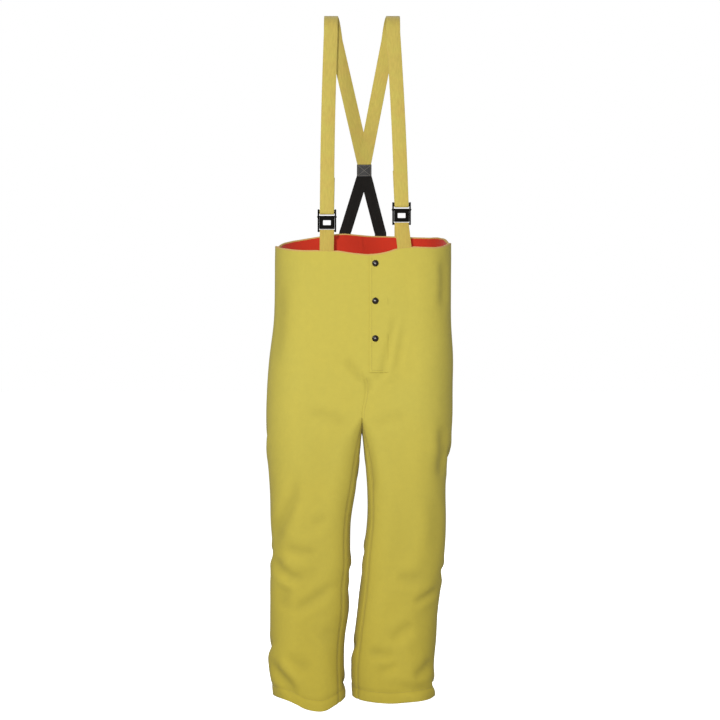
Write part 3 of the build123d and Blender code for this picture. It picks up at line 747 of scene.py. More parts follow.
class Finish:
    """A material being made. Its method for nodes takes a type, settings and the sockets' values or links."""

    def __init__(self, name):
        self.material = bpy.data.materials.new(name)
        self.material.use_nodes = True
        self.tree = self.material.node_tree
        self.tree.nodes.clear()

    def node(self, kind, settings=None, inputs=None, output=0):
        node = self.tree.nodes.new(kind)
        for key, value in (settings or {}).items():
            if key == "stops":
                ramp = node.color_ramp
                for stop, (place, colour) in zip(ramp.elements, value):
                    stop.position = place
                    stop.color = (*colour, 1)
                for place, colour in value[2:]:
                    ramp.elements.new(place).color = (*colour, 1)
            else:
                setattr(node, key, value)
        for key, value in (inputs or {}).items():
            socket = node.inputs[key]
            if isinstance(value, Wire):
                self.tree.links.new(value.socket, socket)
            elif socket.type == "RGBA" and len(value) == 3:
                socket.default_value = (*value, 1)
            else:
                socket.default_value = value
        return Wire(self.tree, node.outputs[output])

    def mix(self, share, a, b):
        """A colour between a and b."""
        settings = {"data_type": "RGBA"}
        return self.node("ShaderNodeMix", settings, {0: share, 6: a, 7: b}, output=2)

    def darker(self, colour, share):
        """A colour multiplied by a number."""
        return self.node("ShaderNodeVectorMath", {"operation": "SCALE"}, {0: colour, 3: share})

    def cloth_place(self):
        """The cloth coordinates, and each of the two by itself."""
        uv = self.node("ShaderNodeUVMap", {"uv_map": "cloth"})
        split = self.tree.nodes.new("ShaderNodeSeparateXYZ")
        self.tree.links.new(uv.socket, split.inputs[0])
        return uv, Wire(self.tree, split.outputs[0]), Wire(self.tree, split.outputs[1])

    def stretched(self, vector, scale):
        return self.node("ShaderNodeMapping", {}, {"Vector": vector, "Scale": scale})

    def bump(self, strength, distance, height):
        return self.node("ShaderNodeBump", {}, {"Strength": strength, "Distance": distance, "Height": height})

    def noise(self, vector, scale, detail=3, roughness=0.55):
        values = {"Vector": vector, "Scale": scale, "Detail": detail, "Roughness": roughness}
        return self.node("ShaderNodeTexNoise", {}, values)

    def finish(self, inputs):
        """The material, with its surface shader's inputs."""
        shader = self.node("ShaderNodeBsdfPrincipled", {}, inputs)
        output = self.tree.nodes.new("ShaderNodeOutputMaterial")
        self.tree.links.new(shader.socket, output.inputs["Surface"])
        return self.material


def woven(name, colour, worn, thread_pitch, lower=None, bump=0.35, roughness=0.88, sheen=0.06):
    """Woven cloth: crossing threads, fibres, uneven dye, painted shade in the fold valleys and a painted
    highlight on the fold ridges.
    """
    f = Finish(name)
    uv, across, along = f.cloth_place()
    turn = 2 * math.pi / thread_pitch
    warp = (across * turn).sin()
    weft = (along * turn).sin()
    slub = f.noise(f.stretched(uv, (1, 0.12, 1)), 900, 2)
    threads = warp * weft * 0.5 + slub * 0.8
    large = f.noise(uv, 7, 3)
    small = f.noise(uv, 55, 4, 0.65)
    fibres = f.noise(uv, 1600, 2, 0.7)
    folded = f.node("ShaderNodeAttribute", {"attribute_name": "folded"}, output=2)
    # Painted shade and highlight: the fold depth darkens the cloth in the valleys and lightens it on the
    # ridges, as light would.
    painted_crease_shade = (folded * -170).bounded(0, 1)
    painted_ridge_highlight = (folded * 140).bounded(0, 1)
    base = f.mix((large - 0.28) * 1.3, worn, colour)
    if lower:
        base = f.mix(((along + 0.95) * -1.15).bounded(0, 1), base, lower)
    # Painted shade in the fold valleys, then a painted highlight on the fold ridges.
    base = f.mix(painted_crease_shade * 0.35, base, tuple(c * 0.62 for c in colour))
    base = f.mix(painted_ridge_highlight * 0.18, base, tuple(min(1, c * 1.22 + 0.01) for c in colour))
    shade = 0.90 + small * 0.12 + (fibres - 0.5) * 0.16 + warp * weft * 0.025
    base = f.darker(base, shade)
    normal = f.bump(bump, thread_pitch * 0.3, threads)
    return f.finish({
        "Base Color": base, "Roughness": roughness + (small - 0.5) * 0.12, "Normal": normal,
        "Sheen Weight": sheen, "Sheen Roughness": 0.45, "Specular IOR Level": 0.25,
    })


def ribbed_webbing(name, colour, worn, rib_pitch, bump=0.6, roughness=0.7, sheen=0.2):
    """Flat webbing: long ribs crossed by fine picks, dull fibres, and soiling that comes and goes."""
    f = Finish(name)
    uv, across, along = f.cloth_place()
    rib = (across * (2 * math.pi / rib_pitch)).sin()
    pick = (along * (2 * math.pi / (rib_pitch * 0.55)) + rib * 1.4).sin()
    long_noise = f.noise(f.stretched(uv, (1, 0.2, 1)), 260, 3)
    large = f.noise(uv, 24, 3)
    height = rib * 0.5 + pick * 0.28 + long_noise * 0.5
    base = f.mix((large - 0.3) * 1.6, worn, colour)
    base = f.darker(base, 0.93 + rib * 0.05 + pick * 0.035 + (long_noise - 0.5) * 0.35)
    normal = f.bump(bump, rib_pitch * 0.25, height)
    return f.finish({
        "Base Color": base, "Roughness": roughness + (large - 0.5) * 0.2, "Normal": normal,
        "Sheen Weight": sheen, "Sheen Roughness": 0.4, "Specular IOR Level": 0.3,
    })


def coated_metal(name, colour, bare, metallic, roughness, wear, shine=0.5):
    """Coated or bare metal: fine grain, handling marks and small scratches."""
    f = Finish(name)
    place = f.node("ShaderNodeTexCoord", {}, {}, output=3)
    grain = f.noise(place, 1500, 3, 0.6)
    marks = f.noise(place, 170, 4, 0.7)
    streak = f.noise(f.stretched(place, (0.15, 1, 1)), 700, 2)
    worn = ((marks - (1 - wear * 0.75)) * 9).bounded(0, 1) * (streak * 1.6).bounded(0, 1)
    base = f.mix(worn * 0.55, colour, bare)
    height = grain * 0.6 + streak * 0.3
    normal = f.bump(0.12, 0.0002, height)
    dull = (roughness + (marks - 0.5) * 0.25 + (grain - 0.5) * 0.1).bounded(0.1, 0.95)
    return f.finish({
        "Base Color": base, "Roughness": dull,
        "Metallic": metallic, "Normal": normal, "Specular IOR Level": shine,
    })


def hide(name, colour):
    """Black grained patch material."""
    f = Finish(name)
    place = f.node("ShaderNodeTexCoord", {}, {}, output=3)
    cells = f.node("ShaderNodeTexVoronoi", {}, {"Vector": place, "Scale": 900.0})
    soft = f.noise(place, 120, 3)
    base = f.mix(soft * 0.5, colour, tuple(c * 2.2 for c in colour))
    normal = f.bump(0.35, 0.0003, cells)
    return f.finish({
        "Base Color": base, "Roughness": 0.55 + (soft - 0.5) * 0.2, "Normal": normal,
        "Specular IOR Level": 0.4,
    })


def thread(name, colour):
    """Twisted sewing thread."""
    f = Finish(name)
    uv, across, along = f.cloth_place()
    twist = ((across + along) * 9000).sin()
    soft = f.noise(uv, 2500, 2)
    base = f.darker(f.mix(soft * 0.4, colour, tuple(c * 0.8 for c in colour)), 0.92 + twist * 0.08)
    normal = f.bump(0.4, 0.0001, twist)
    return f.finish({"Base Color": base, "Roughness": 0.6, "Normal": normal, "Sheen Weight": 0.15})


def colour_property(name, text, value):
    return bpy.props.FloatVectorProperty(
        name=name, description=text, default=value, size=3, min=0, max=1, subtype="COLOR"
    )


def size_property(name, text, value):
    return bpy.props.FloatProperty(
        name=name, description=text, default=value, min=0, subtype="DISTANCE", unit="LENGTH"
    )


class TrouserColours(bpy.types.PropertyGroup):
    """Colours of the trousers' materials."""

    shell: colour_property("Shell", "Outer cloth", (0.542, 0.448, 0.070))
    shell_worn: colour_property("Shell, faded", "Outer cloth where the dye is uneven", (0.510, 0.434, 0.074))
    shell_lower: colour_property("Shell, lower legs", "Outer cloth towards the hems", (0.470, 0.370, 0.040))
    liner: colour_property("Liner", "Inside cloth", (0.690, 0.036, 0.012))
    binding: colour_property("Binding", "Tape along the rim", (0.640, 0.410, 0.130))
    webbing: colour_property("Webbing", "Shoulder straps", (0.560, 0.495, 0.096))
    tab: colour_property("Tabs", "Front tabs", (0.540, 0.445, 0.088))
    elastic: colour_property("Elastic", "Rear elastics", (0.0045, 0.0035, 0.0025))
    barrier: colour_property("Barrier", "Moisture barrier film", (0.780, 0.760, 0.690))
    buckle: colour_property("Buckle", "Coating of the buckles", (0.0035, 0.003, 0.0022))
    snap: colour_property("Snap", "Enamel of the snap caps", (0.014, 0.009, 0.005))


class TrouserSizes(bpy.types.PropertyGroup):
    """Sizes of the trousers' sewing and trim."""

    thread_pitch: size_property("Thread pitch", "Distance between the shell's threads", 0.0016)
    stitch_pitch: size_property("Stitch pitch", "Distance from stitch to stitch", 0.0042)
    binding_height: size_property("Binding height", "How far the rim's tape shows", 0.0038)
    webbing_width: size_property("Webbing width", "Width of straps and tabs", 0.0358)
    webbing_thick: size_property("Webbing thickness", "Thickness of straps and tabs", 0.0018)
    elastic_width: size_property("Elastic width", "Width of the rear elastics", 0.031)
    elastic_thick: size_property("Elastic thickness", "Thickness of the rear elastics", 0.0016)


MADE = {}


def shared(name, make):
    """A grid or material that several operators use, made the first time it is asked for."""
    if name not in MADE:
        MADE[name] = make()
    return MADE[name]


def grid_of(side):
    return shared(f"grid {side}", lambda: half_grid(side))


def sizes():
    return bpy.context.scene.trouser_sizes


def colour(name, *factors):
    """A colour of the trousers, scaled by one factor or by three."""
    value = getattr(bpy.context.scene.trouser_colours, name)
    return tuple(v * k for v, k in zip(value, factors * (3 // len(factors)))) if factors else tuple(value)


def shell_cloth():
    return shared("shell", lambda: woven(
        "shell_cloth", colour("shell"), colour("shell_worn"), sizes().thread_pitch, colour("shell_lower"),
    ))


def liner_cloth():
    return shared("liner", lambda: woven(
        "liner_cloth", colour("liner"), colour("liner", 0.78), 0.0022, bump=0.5, sheen=0.3,
    ))


def barrier_film():
    film = colour("barrier")
    return shared("barrier", lambda: woven(
        "barrier_film", film, film, 0.0012, bump=0.1, roughness=0.5, sheen=0,
    ))


def webbing_cloth():
    worn = colour("webbing", 1.02, 0.86, 0.95)
    return shared("webbing", lambda: ribbed_webbing("yellow_webbing", colour("webbing"), worn, 0.0024))


def tab_cloth():
    worn = colour("tab", 1.0, 0.84, 0.8)
    return shared("tab", lambda: ribbed_webbing("tab_webbing", colour("tab"), worn, 0.0024))


def binding_cloth():
    worn = colour("binding", 0.85)
    return shared("binding", lambda: woven("binding_tape", colour("binding"), worn, 0.0011, bump=0.3))


def yellow_thread():
    return shared("yellow thread", lambda: thread("yellow_thread", (0.36, 0.275, 0.040)))


def grey_thread():
    return shared("grey thread", lambda: thread("grey_thread", (0.30, 0.28, 0.24)))


class Step:
    """What the trousers' operators share."""

    bl_options = {"REGISTER", "UNDO"}


def raised_grid(grid):
    """The left half with its cloth standing out beside the flap's root, level with it, and easing down."""
    points = grid["points"]
    x = points[..., 0]
    near = (1 - ease(x, FLY_REACH, FLY_REACH + 0.055)) * ease(points[..., 2], -0.905, -0.875)
    lift = np.where(points[..., 1] < -0.05, near, 0) * -FLAP[0]
    below_flap = ease(-points[..., 2], -WINDOW_BOTTOM - 0.001, -WINDOW_BOTTOM + 0.004)
    lift = np.where(x < FLY_REACH - 0.001, lift * ease(x, 0.03, FLY_REACH) * below_flap, lift)
    return dict(grid, points=points + grid["normals"] * lift[..., None])


class TROUSERS_OT_shell(Step, bpy.types.Operator):
    """Make the four panels of the outer shell"""

    bl_idname = "trousers.shell"
    bl_label = "Shell"

    def execute(self, context):
        for side in SIDES:
            grid = grid_of(side)
            front = panel_cells(FRONT_COLUMNS)
            if side == "left":
                # The left front starts at the flap's root, above the bottom of the fly.
                front[:WINDOW_END, FLY_CELLS] = False
                fronts = [(raised_grid(grid), FRONT_COLUMNS, front)]
            else:
                # The right front runs on past the middle behind the flap.
                tongue = range(TONGUE_COLUMNS)
                behind_flap = (grid_of("left"), tongue, panel_cells(tongue, 0, WINDOW_END))
                fronts = [(grid, FRONT_COLUMNS, front), behind_flap]
            backs = [(grid, BACK_COLUMNS, panel_cells(BACK_COLUMNS))]
            for part, strips in (("front", fronts), ("back", backs)):
                nodes = [f"shell_{part}_{side}"]
                cloth_piece(strips, SHELL, "shell", nodes, bulge=CUT_BULGE)
        return {"FINISHED"}


class TROUSERS_OT_lining(Step, bpy.types.Operator):
    """Make the moisture barrier, the liner, the waist facing and the hem facings"""

    bl_idname = "trousers.lining"
    bl_label = "Lining"

    def execute(self, context):
        for side in SIDES:
            grid = grid_of(side)
            for layer, depths in (("barrier", BARRIER), ("liner", LINER)):
                for part, columns in (("front", FRONT_COLUMNS), ("back", BACK_COLUMNS)):
                    cells = panel_cells(columns, FACING_ROWS, LAST_ROW - HEM_ROWS)
                    if (part, side) == ("front", "left"):
                        cells[: ROWS_FLY + 1, FLY_CELLS] = False
                    nodes = [f"{layer}_{part}_{side}"]
                    cloth_piece([(grid, columns, cells)], depths, layer, nodes)
            strips = [(grid, WHOLE_COLUMNS, panel_cells(WHOLE_COLUMNS, LAST_ROW - HEM_ROWS))]
            cloth_piece(strips, FACING, "shell", [f"hem_facing_{side}"])
        strips = []
        for side in SIDES:
            columns = range(BACK_COLUMN + 1)
            cells = panel_cells(columns, 0, FACING_ROWS)
            if side == "left":
                cells[:, :FLY_COLUMN] = False
            strips.append((grid_of(side), columns, cells))
        cloth_piece(strips, FACING, "liner", ["waist_facing"])
        return {"FINISHED"}


TAB_FOOT_HALF = 0.018
TAPE_DROP = 0.0012
TAPE_GAP = 0.00025


def tab_foot(side):
    """Place across of the foot of a front tab."""
    low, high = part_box(f"front_tab_{side}")
    return high[0] - TAB_FOOT_HALF if side == "left" else low[0] + TAB_FOOT_HALF


def rim_line(parts):
    """Points, normals and upward directions along the rim, from strips of columns of the grids."""
    points, normals = (
        np.concatenate([grid[key][0, columns] for grid, columns in parts]) for key in ("points", "normals")
    )
    keep = np.concatenate([[True], np.linalg.norm(np.diff(points, axis=0), axis=1) > 1e-5])
    points, normals = points[keep], normals[keep]
    tangent = np.gradient(points, axis=0)
    up = np.cross(tangent, normals)
    up /= np.linalg.norm(up, axis=1, keepdims=True)
    up *= np.sign(up[:, 2:])
    return points, normals, up


def rim_tape(name, line, inner, outer, body):
    """Tape with a round top, folded over an edge, from the edge's line and its reach inwards and outwards."""
    middle, half = (inner + outer) / 2, (outer - inner) / 2
    high = sizes().binding_height - TAPE_DROP
    round_top = np.radians(np.arange(0, 181, 22.5))
    top = [(middle + half * math.cos(a), high - half * 0.5 + half * 0.5 * math.sin(a)) for a in round_top]
    tape = swept(name, *line, [*top, (inner, -TAPE_DROP), (outer, -TAPE_DROP)], binding_cloth(), body)
    return tape


class TROUSERS_OT_rim(Step, bpy.types.Operator):
    """Make the tape along the waist rim, up to the flap's free edge"""

    bl_idname = "trousers.rim"
    bl_label = "Rim"

    def execute(self, context):
        left, right = grid_of("left"), grid_of("right")
        points, normals, up = rim_line([
            (raised_grid(left), list(range(FLY_COLUMN, BACK_COLUMN + 1))),
            (right, list(range(BACK_COLUMN, -1, -1))),
            (left, list(range(FLAP_COLUMN + 1))),
        ])
        for side in SIDES:
            # The tape lies flatter where a tab passes behind it.
            crossing = np.exp(-(((points[:, 0] - tab_foot(side)) / 0.019) ** 8)) * (points[:, 1] < 0)
            up *= (1 - 0.75 * crossing)[:, None]
        line = (points, normals, up)
        tape = rim_tape("waist_binding_tape", line, -FACING[1] - 0.0002, TAPE_GAP, "root")
        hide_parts("waist_binding")
        return {"FINISHED"}


class TROUSERS_OT_fly(Step, bpy.types.Operator):
    """Make the fly's flap with its tape and stitching, and the underlap"""

    bl_idname = "trousers.fly"
    bl_label = "Fly"

    def execute(self, context):
        left = grid_of("left")
        columns = list(range(FLAP_COLUMN, FLY_COLUMN + 1))
        cells = panel_cells(columns, 0, ROWS_FLY)
        nodes = ["fly_flap", "fly_hinge_strip"]
        strips = [(left, columns, cells)]
        cloth_piece(strips, FLAP, "shell", nodes, FLY_ROOT, CUT_BULGE)
        line = rim_line([(left, columns)])
        rim_tape("fly_flap_tape", line, -FLAP[1] - 0.0001, -FLAP[0] + TAPE_GAP, FLY_ROOT)
        edge_column, foot_row = FLAP_COLUMN + 1.2, ROWS_FLY - 1.1
        rows = np.arange(1.5, ROWS_FLY - 1, 0.5)
        across = np.arange(edge_column, 12.0, 0.2)
        runs = [
            (places - FLAP[0] * normals, normals)
            for places, normals in (on_grid(left, rows, edge_column), on_grid(left, foot_row, across))
        ]
        sewn = stitch_rows("fly_flap_stitching", runs, yellow_thread(), "fly", sizes().stitch_pitch)
        strips = [(left, UNDERLAP_COLUMNS, panel_cells(UNDERLAP_COLUMNS, 0, ROWS_FLY))]
        cloth_piece(strips, UNDERLAP, "shell", ["fly_underlap"])
        return {"FINISHED"}


# Outlines of the snaps: radius and height. The dome's radii are shares of the cap's.
SNAP_DOME = [
    (0.93, 0.0), (1, 0.0005), (1, 0.0011), (0.965, 0.0017), (0.90, 0.0020), (0.86, 0.00195), (0.82, 0.0022),
    (0.72, 0.0027), (0.58, 0.0031), (0.40, 0.00345), (0.20, 0.00362), (0.03, 0.00368),
]
SNAP_SOCKET = [
    (0.0062, 0.0), (0.0062, 0.0009), (0.0055, 0.0014), (0.0045, 0.0016), (0.0035, 0.0015), (0.0033, 0.0002),
]
SNAP_STUD = [
    (0.0056, 0.0), (0.0056, 0.00025), (0.0030, 0.0004), (0.0024, 0.0006), (0.0028, 0.0011), (0.0024, 0.0014),
    (0.0006, 0.0014),
]
SNAP_RIVET = [
    (0.006, 0.0), (0.006, 0.0006), (0.0050, 0.0012), (0.0030, 0.0012), (0.0024, 0.0007), (0.0004, 0.0006),
]


class TROUSERS_OT_snaps(Step, bpy.types.Operator):
    """Make the snaps: caps and sockets on the flap, studs and backs on the underlap"""

    bl_idname = "trousers.snaps"
    bl_label = "Snaps"

    def execute(self, context):
        enamel = coated_metal("snap_enamel", colour("snap"), (0.10, 0.07, 0.04), 0.0, 0.2, 0.3, shine=0.35)
        brass = coated_metal("snap_brass", (0.38, 0.27, 0.11), (0.55, 0.42, 0.2), 1.0, 0.4, 0.6)
        low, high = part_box("snap_caps")
        half = (high[0] - low[0]) / 2
        first, last = high[2] - half, low[2] + half
        flap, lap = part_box("fly_flap"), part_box("fly_underlap")
        dome = [(share * half * 1.08, height) for share, height in SNAP_DOME]
        for name, node, depth, outline, finish, body, way in (
            ("snap_cap_domes", "snap_caps", flap[0][1], dome, enamel, "fly", -1),
            ("snap_socket_rings", "snap_sockets", flap[1][1], SNAP_SOCKET, brass, "fly", 1),
            ("snap_stud_posts", "snap_studs", lap[0][1], SNAP_STUD, brass, "root", -1),
            ("snap_back_eyelets", "snap_backs", lap[1][1], SNAP_RIVET, brass, "root", 1),
        ):
            places = [((low[0] + high[0]) / 2, depth, z) for z in (first, (first + last) / 2, last)]
            stands_in(turned(name, places, outline, finish, body, way), "snap", node)
        return {"FINISHED"}


BUCKLE_RISE = 0.011
BOTTOM_BAR_DROP = 0.0355
TOP_LOOP = 0.0038
BOTTOM_LOOP = 0.0022
TAIL = 0.090
STRAP_BOW = 0.002
BIGHT_REACH = 0.080
BIGHT_TURN = 0.011
STRAP_BACK = {"right": 0.0913, "left": 0.0865}
TAB_STRAIGHT, TAB_RETURN = 0.036, 0.034


def round_bar(x, y, z, radius, start, end, steps):
    """Places round a bar along X and their facings, between angles in degrees: 0 behind, 90 on top."""
    angles = np.radians(np.linspace(start, end, steps))
    places = [(x, y + radius * math.cos(a), z + radius * math.sin(a)) for a in angles]
    return places, [(0, math.cos(a), math.sin(a)) for a in angles]


class TROUSERS_OT_braces(Step, bpy.types.Operator):
    """Make the shoulder straps and the front tabs"""

    bl_idname = "trousers.braces"
    bl_label = "Braces"

    def execute(self, context):
        section = (sizes().webbing_width, sizes().webbing_thick)
        half = section[1] / 2
        rail = frame["record"]["mounts"][0]["dims"]["r_mm"] / 1000
        patch_low, patch_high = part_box("cross_patch_inner")
        patch_x = (patch_low[0] + patch_high[0]) / 2
        for side, sign in SIDES.items():
            x, y, pivot = JOINTS[f"{side}_lever_pivot"]["pos_m"]
            bar, top_x = pivot + BUCKLE_RISE, sign * BIGHT_REACH
            front_low = np.array((x, y - TOP_LOOP - half, bar))
            front_high = np.array((top_x, -rail - half, 0))
            lean = (front_high - front_low) / (front_high[2] - front_low[2])
            tail_low = np.array((x, y + TOP_LOOP + half, bar))
            tail = between(tail_low + lean * TAIL, tail_low, 12)
            loop, loop_face = round_bar(x, y, bar, TOP_LOOP + half, 0, -180, 9)
            run = [
                (p[0] + STRAP_BOW * sign * math.sin(math.pi * k / 29), p[1], p[2])
                for k, p in enumerate(between(front_low, front_high, 30))
            ]
            bight, bight_face = round_bar(top_x, 0, 0, rail + half, 180, 0, 21)
            # Over the rail the webbing already turns towards the cross patch.
            shifts = [sign * BIGHT_TURN * max(0, k) / 10 for k in range(-10, 11)]
            bight = [(px - shift, py, pz) for shift, (px, py, pz) in zip(shifts, bight)]
            back_low = (patch_x, STRAP_BACK[side], patch_high[2])
            back = between(bight[-1], back_low, 26)
            end = between(back_low, (patch_x, STRAP_BACK[side], patch_low[2] + 0.002), 5)
            line = [*tail[:-1], *loop, *run[1:-1], *bight, *back[1:], *end[1:]]
            face = [*[BACKWARD] * 11, *loop_face, *[FORWARD] * 28, *bight_face, *[BACKWARD] * 29]
            strap = webbing(f"shoulder_strap_{side}_webbing", line, face, *section, webbing_cloth())
            stands_in(strap, "webbing", f"shoulder_strap_{side}")

            bar, foot_x = pivot - BOTTOM_BAR_DROP, tab_foot(side)
            foot_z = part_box(f"front_tab_{side}")[0][2]
            near, far = y - BOTTOM_LOOP - half, y + BOTTOM_LOOP + half
            rise = (foot_x, near, foot_z + TAB_STRAIGHT)
            front = [*between((foot_x, near, foot_z), rise, 5)[:-1], *between(rise, (x, near, bar), 10)]
            loop, loop_face = round_bar(x, y, bar, BOTTOM_LOOP + half, 180, 0, 9)
            back = between((x, far, bar), (x, far, bar - TAB_RETURN), 7)
            line = [*front[:-1], *loop, *back[1:]]
            face = [*[FORWARD] * 13, *loop_face, *[BACKWARD] * 6]
            tab = webbing(f"front_tab_{side}_webbing", line, face, *section, tab_cloth())
            stands_in(tab, "webbing", f"front_tab_{side}")
        return {"FINISHED"}


ELASTIC_FOOT_HALF = 0.015
ELASTIC_HEAD = {"left": 0.0882, "right": 0.0898}
ELASTIC_SPREAD_END = -0.503
PATCH_MARGIN = 0.003


class TROUSERS_OT_elastics(Step, bpy.types.Operator):
    """Make the rear elastics and the cross patch with its stitching"""

    bl_idname = "trousers.elastics"
    bl_label = "Elastics"

    def execute(self, context):
        s = sizes()
        plain, worn = colour("elastic"), colour("elastic", 1.6)
        rubbery = ribbed_webbing("black_elastic", plain, worn, 0.0021, 0.8, 0.75, 0.04)
        leather = hide("patch_hide", (0.010, 0.009, 0.009))
        low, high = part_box("cross_patch_inner")
        middle = (low[0] + high[0]) / 2
        bend = low[2] + 0.002
        for side, sign in SIDES.items():
            foot_low, foot_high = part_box(f"elastic_{side}")
            foot_x = foot_high[0] - ELASTIC_FOOT_HALF if side == "left" else foot_low[0] + ELASTIC_FOOT_HALF
            foot_y = foot_high[1] - s.elastic_thick / 2
            head_x, head_y = middle + sign * 0.004, ELASTIC_HEAD[side]
            fan = 0.0008 if side == "right" else 0
            line = [(head_x, head_y, high[2] - 0.004), (head_x, head_y, bend + 0.012)]
            rows = np.linspace(bend, ELASTIC_SPREAD_END, 12)
            for z, t in zip(rows, (rows - bend) / (rows[-1] - bend)):
                bow = fan * 4 * t * (1 - t)
                line.append((head_x + (foot_x - head_x) * t, head_y + (foot_y - head_y) * t + bow, z))
            line += [(foot_x, foot_y, ELASTIC_SPREAD_END - 0.009), (foot_x, foot_y, foot_low[2])]
            band = webbing(
                f"elastic_{side}_band", line, [BACKWARD] * len(line), s.elastic_width,
                s.elastic_thick - 0.0002, rubbery, ribs=12, rib_height=0.00018,
            )
            stands_in(band, "elastic", f"elastic_{side}")
        for ply, sign in (("inner", -1), ("outer", 1)):
            low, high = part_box(f"cross_patch_{ply}")
            x, y = (low[0] + high[0]) / 2, (low[1] + high[1]) / 2
            thick = (high[1] - low[1]) - 0.0001
            centres = [(x, y, z) for z in np.linspace(low[2], high[2], 12)]
            profile = strip_profile(high[0] - low[0], thick)
            across = [(1, 0, 0)] * 12
            patch = swept(f"cross_patch_{ply}_hide", centres, across, [BACKWARD] * 12, profile, leather)
            stands_in(patch, "patch", f"cross_patch_{ply}")
            face_y = y + sign * thick / 2
            x1, x2 = low[0] + PATCH_MARGIN, high[0] - PATCH_MARGIN
            z1, z2 = low[2] + PATCH_MARGIN, high[2] - PATCH_MARGIN
            runs = []
            for path in ([(x1, z1), (x2, z1), (x2, z2), (x1, z2), (x1, z1), (x2, z2)], [(x1, z2), (x2, z1)]):
                for (ax, az), (bx, bz) in zip(path, path[1:]):
                    runs.append((between((ax, face_y, az), (bx, face_y, bz), 12), [(0, sign, 0)] * 12))
            name = f"cross_patch_{ply}_stitching"
            stitch_rows(name, runs, grey_thread(), pitch=0.0030, length=0.0024)
        return {"FINISHED"}


BUCKLE_HALF = 0.0235
RAIL_WIDTH = 0.0042
RAIL_TOP, RAIL_BOTTOM = 0.0190, 0.0385
RAIL_HALF_DEPTH = 0.0025
TOP_BAR_RADIUS, BOTTOM_BAR_RADIUS = 0.0030, 0.0022
PIN_RADIUS = 0.0015
BARREL_RADIUS = 0.0027
BOSS_RADIUS = 0.0030
LUG_DROPS = (0.0012, 0.0070)
LIP_RADIUS = 0.0016
WINDOW_LEDGE = 0.0028
LEVER_HALF = 0.0190
LEVER_LENGTH = 0.0311
LEVER_FRONT, LEVER_BACK = 0.0045, 0.0017
WINDOW_HALF, WINDOW_HIGH, WINDOW_LOW = 0.0098, 0.0089, 0.0213


def rounded_box(x1, x2, z1, z2, radius):
    """Outline of a rectangle with rounded corners."""
    left, right, low, high = x1 + radius, x2 - radius, z1 + radius, z2 - radius
    return np.array([
        *arc(right, high, radius, 0, 90, 7), *arc(left, high, radius, 90, 180, 7),
        *arc(left, low, radius, 180, 270, 7), *arc(right, low, radius, 270, 360, 7),
    ])


def inset(outline, distance):
    """An outline moved in on all sides."""
    along = np.roll(outline, -1, axis=0) - np.roll(outline, 1, axis=0)
    out = np.stack([along[:, 1], -along[:, 0]], axis=1)
    return outline - distance * out / np.linalg.norm(out, axis=1, keepdims=True)


def at_depth(outline, y):
    return np.stack([outline[:, 0], np.full(len(outline), y), outline[:, 1]], axis=1)


def slab(outline, front, back, soften):
    """A plate with softened edges."""
    small = inset(outline, soften)
    return lofted([
        at_depth(small, front), at_depth(outline, front + soften),
        at_depth(outline, back - soften), at_depth(small, back),
    ], closed=False)


def framed(outer, inner, front, back, soften):
    """A plate with a window, and softened edges on both."""
    outer_in, inner_out = inset(outer, soften), inset(inner, -soften)
    return lofted([
        at_depth(inner_out, front), at_depth(outer_in, front), at_depth(outer, front + soften),
        at_depth(outer, back - soften), at_depth(outer_in, back), at_depth(inner_out, back),
        at_depth(inner, back - soften), at_depth(inner, front + soften),
    ], closed=True)


def circle(x, y, z, radius):
    """A ring of places about a line along X."""
    angles = np.radians(np.arange(0, 360, 15))
    return np.stack([0 * angles + x, y + radius * np.cos(angles), z + radius * np.sin(angles)], axis=1)


def rod(x1, x2, y, z, radius, soften):
    """A round bar along X with softened ends."""
    ends = ((x1, radius - soften), (x1 + soften, radius), (x2 - soften, radius), (x2, radius - soften))
    return lofted([circle(x, y, z, r) for x, r in ends], closed=False)


def tube(x1, x2, y, z, inner, outer):
    """A hollow barrel along X."""
    ends = ((x1, outer), (x2, outer), (x2, inner), (x1, inner))
    return lofted([circle(x, y, z, r) for x, r in ends], closed=True)


def metal_piece(name, parts, finish, body):
    """One piece from several closed skins, with its coordinates laid out flat from the front."""
    return joined(name, parts, np.concatenate([places for places, _ in parts])[:, ::2], finish, body)


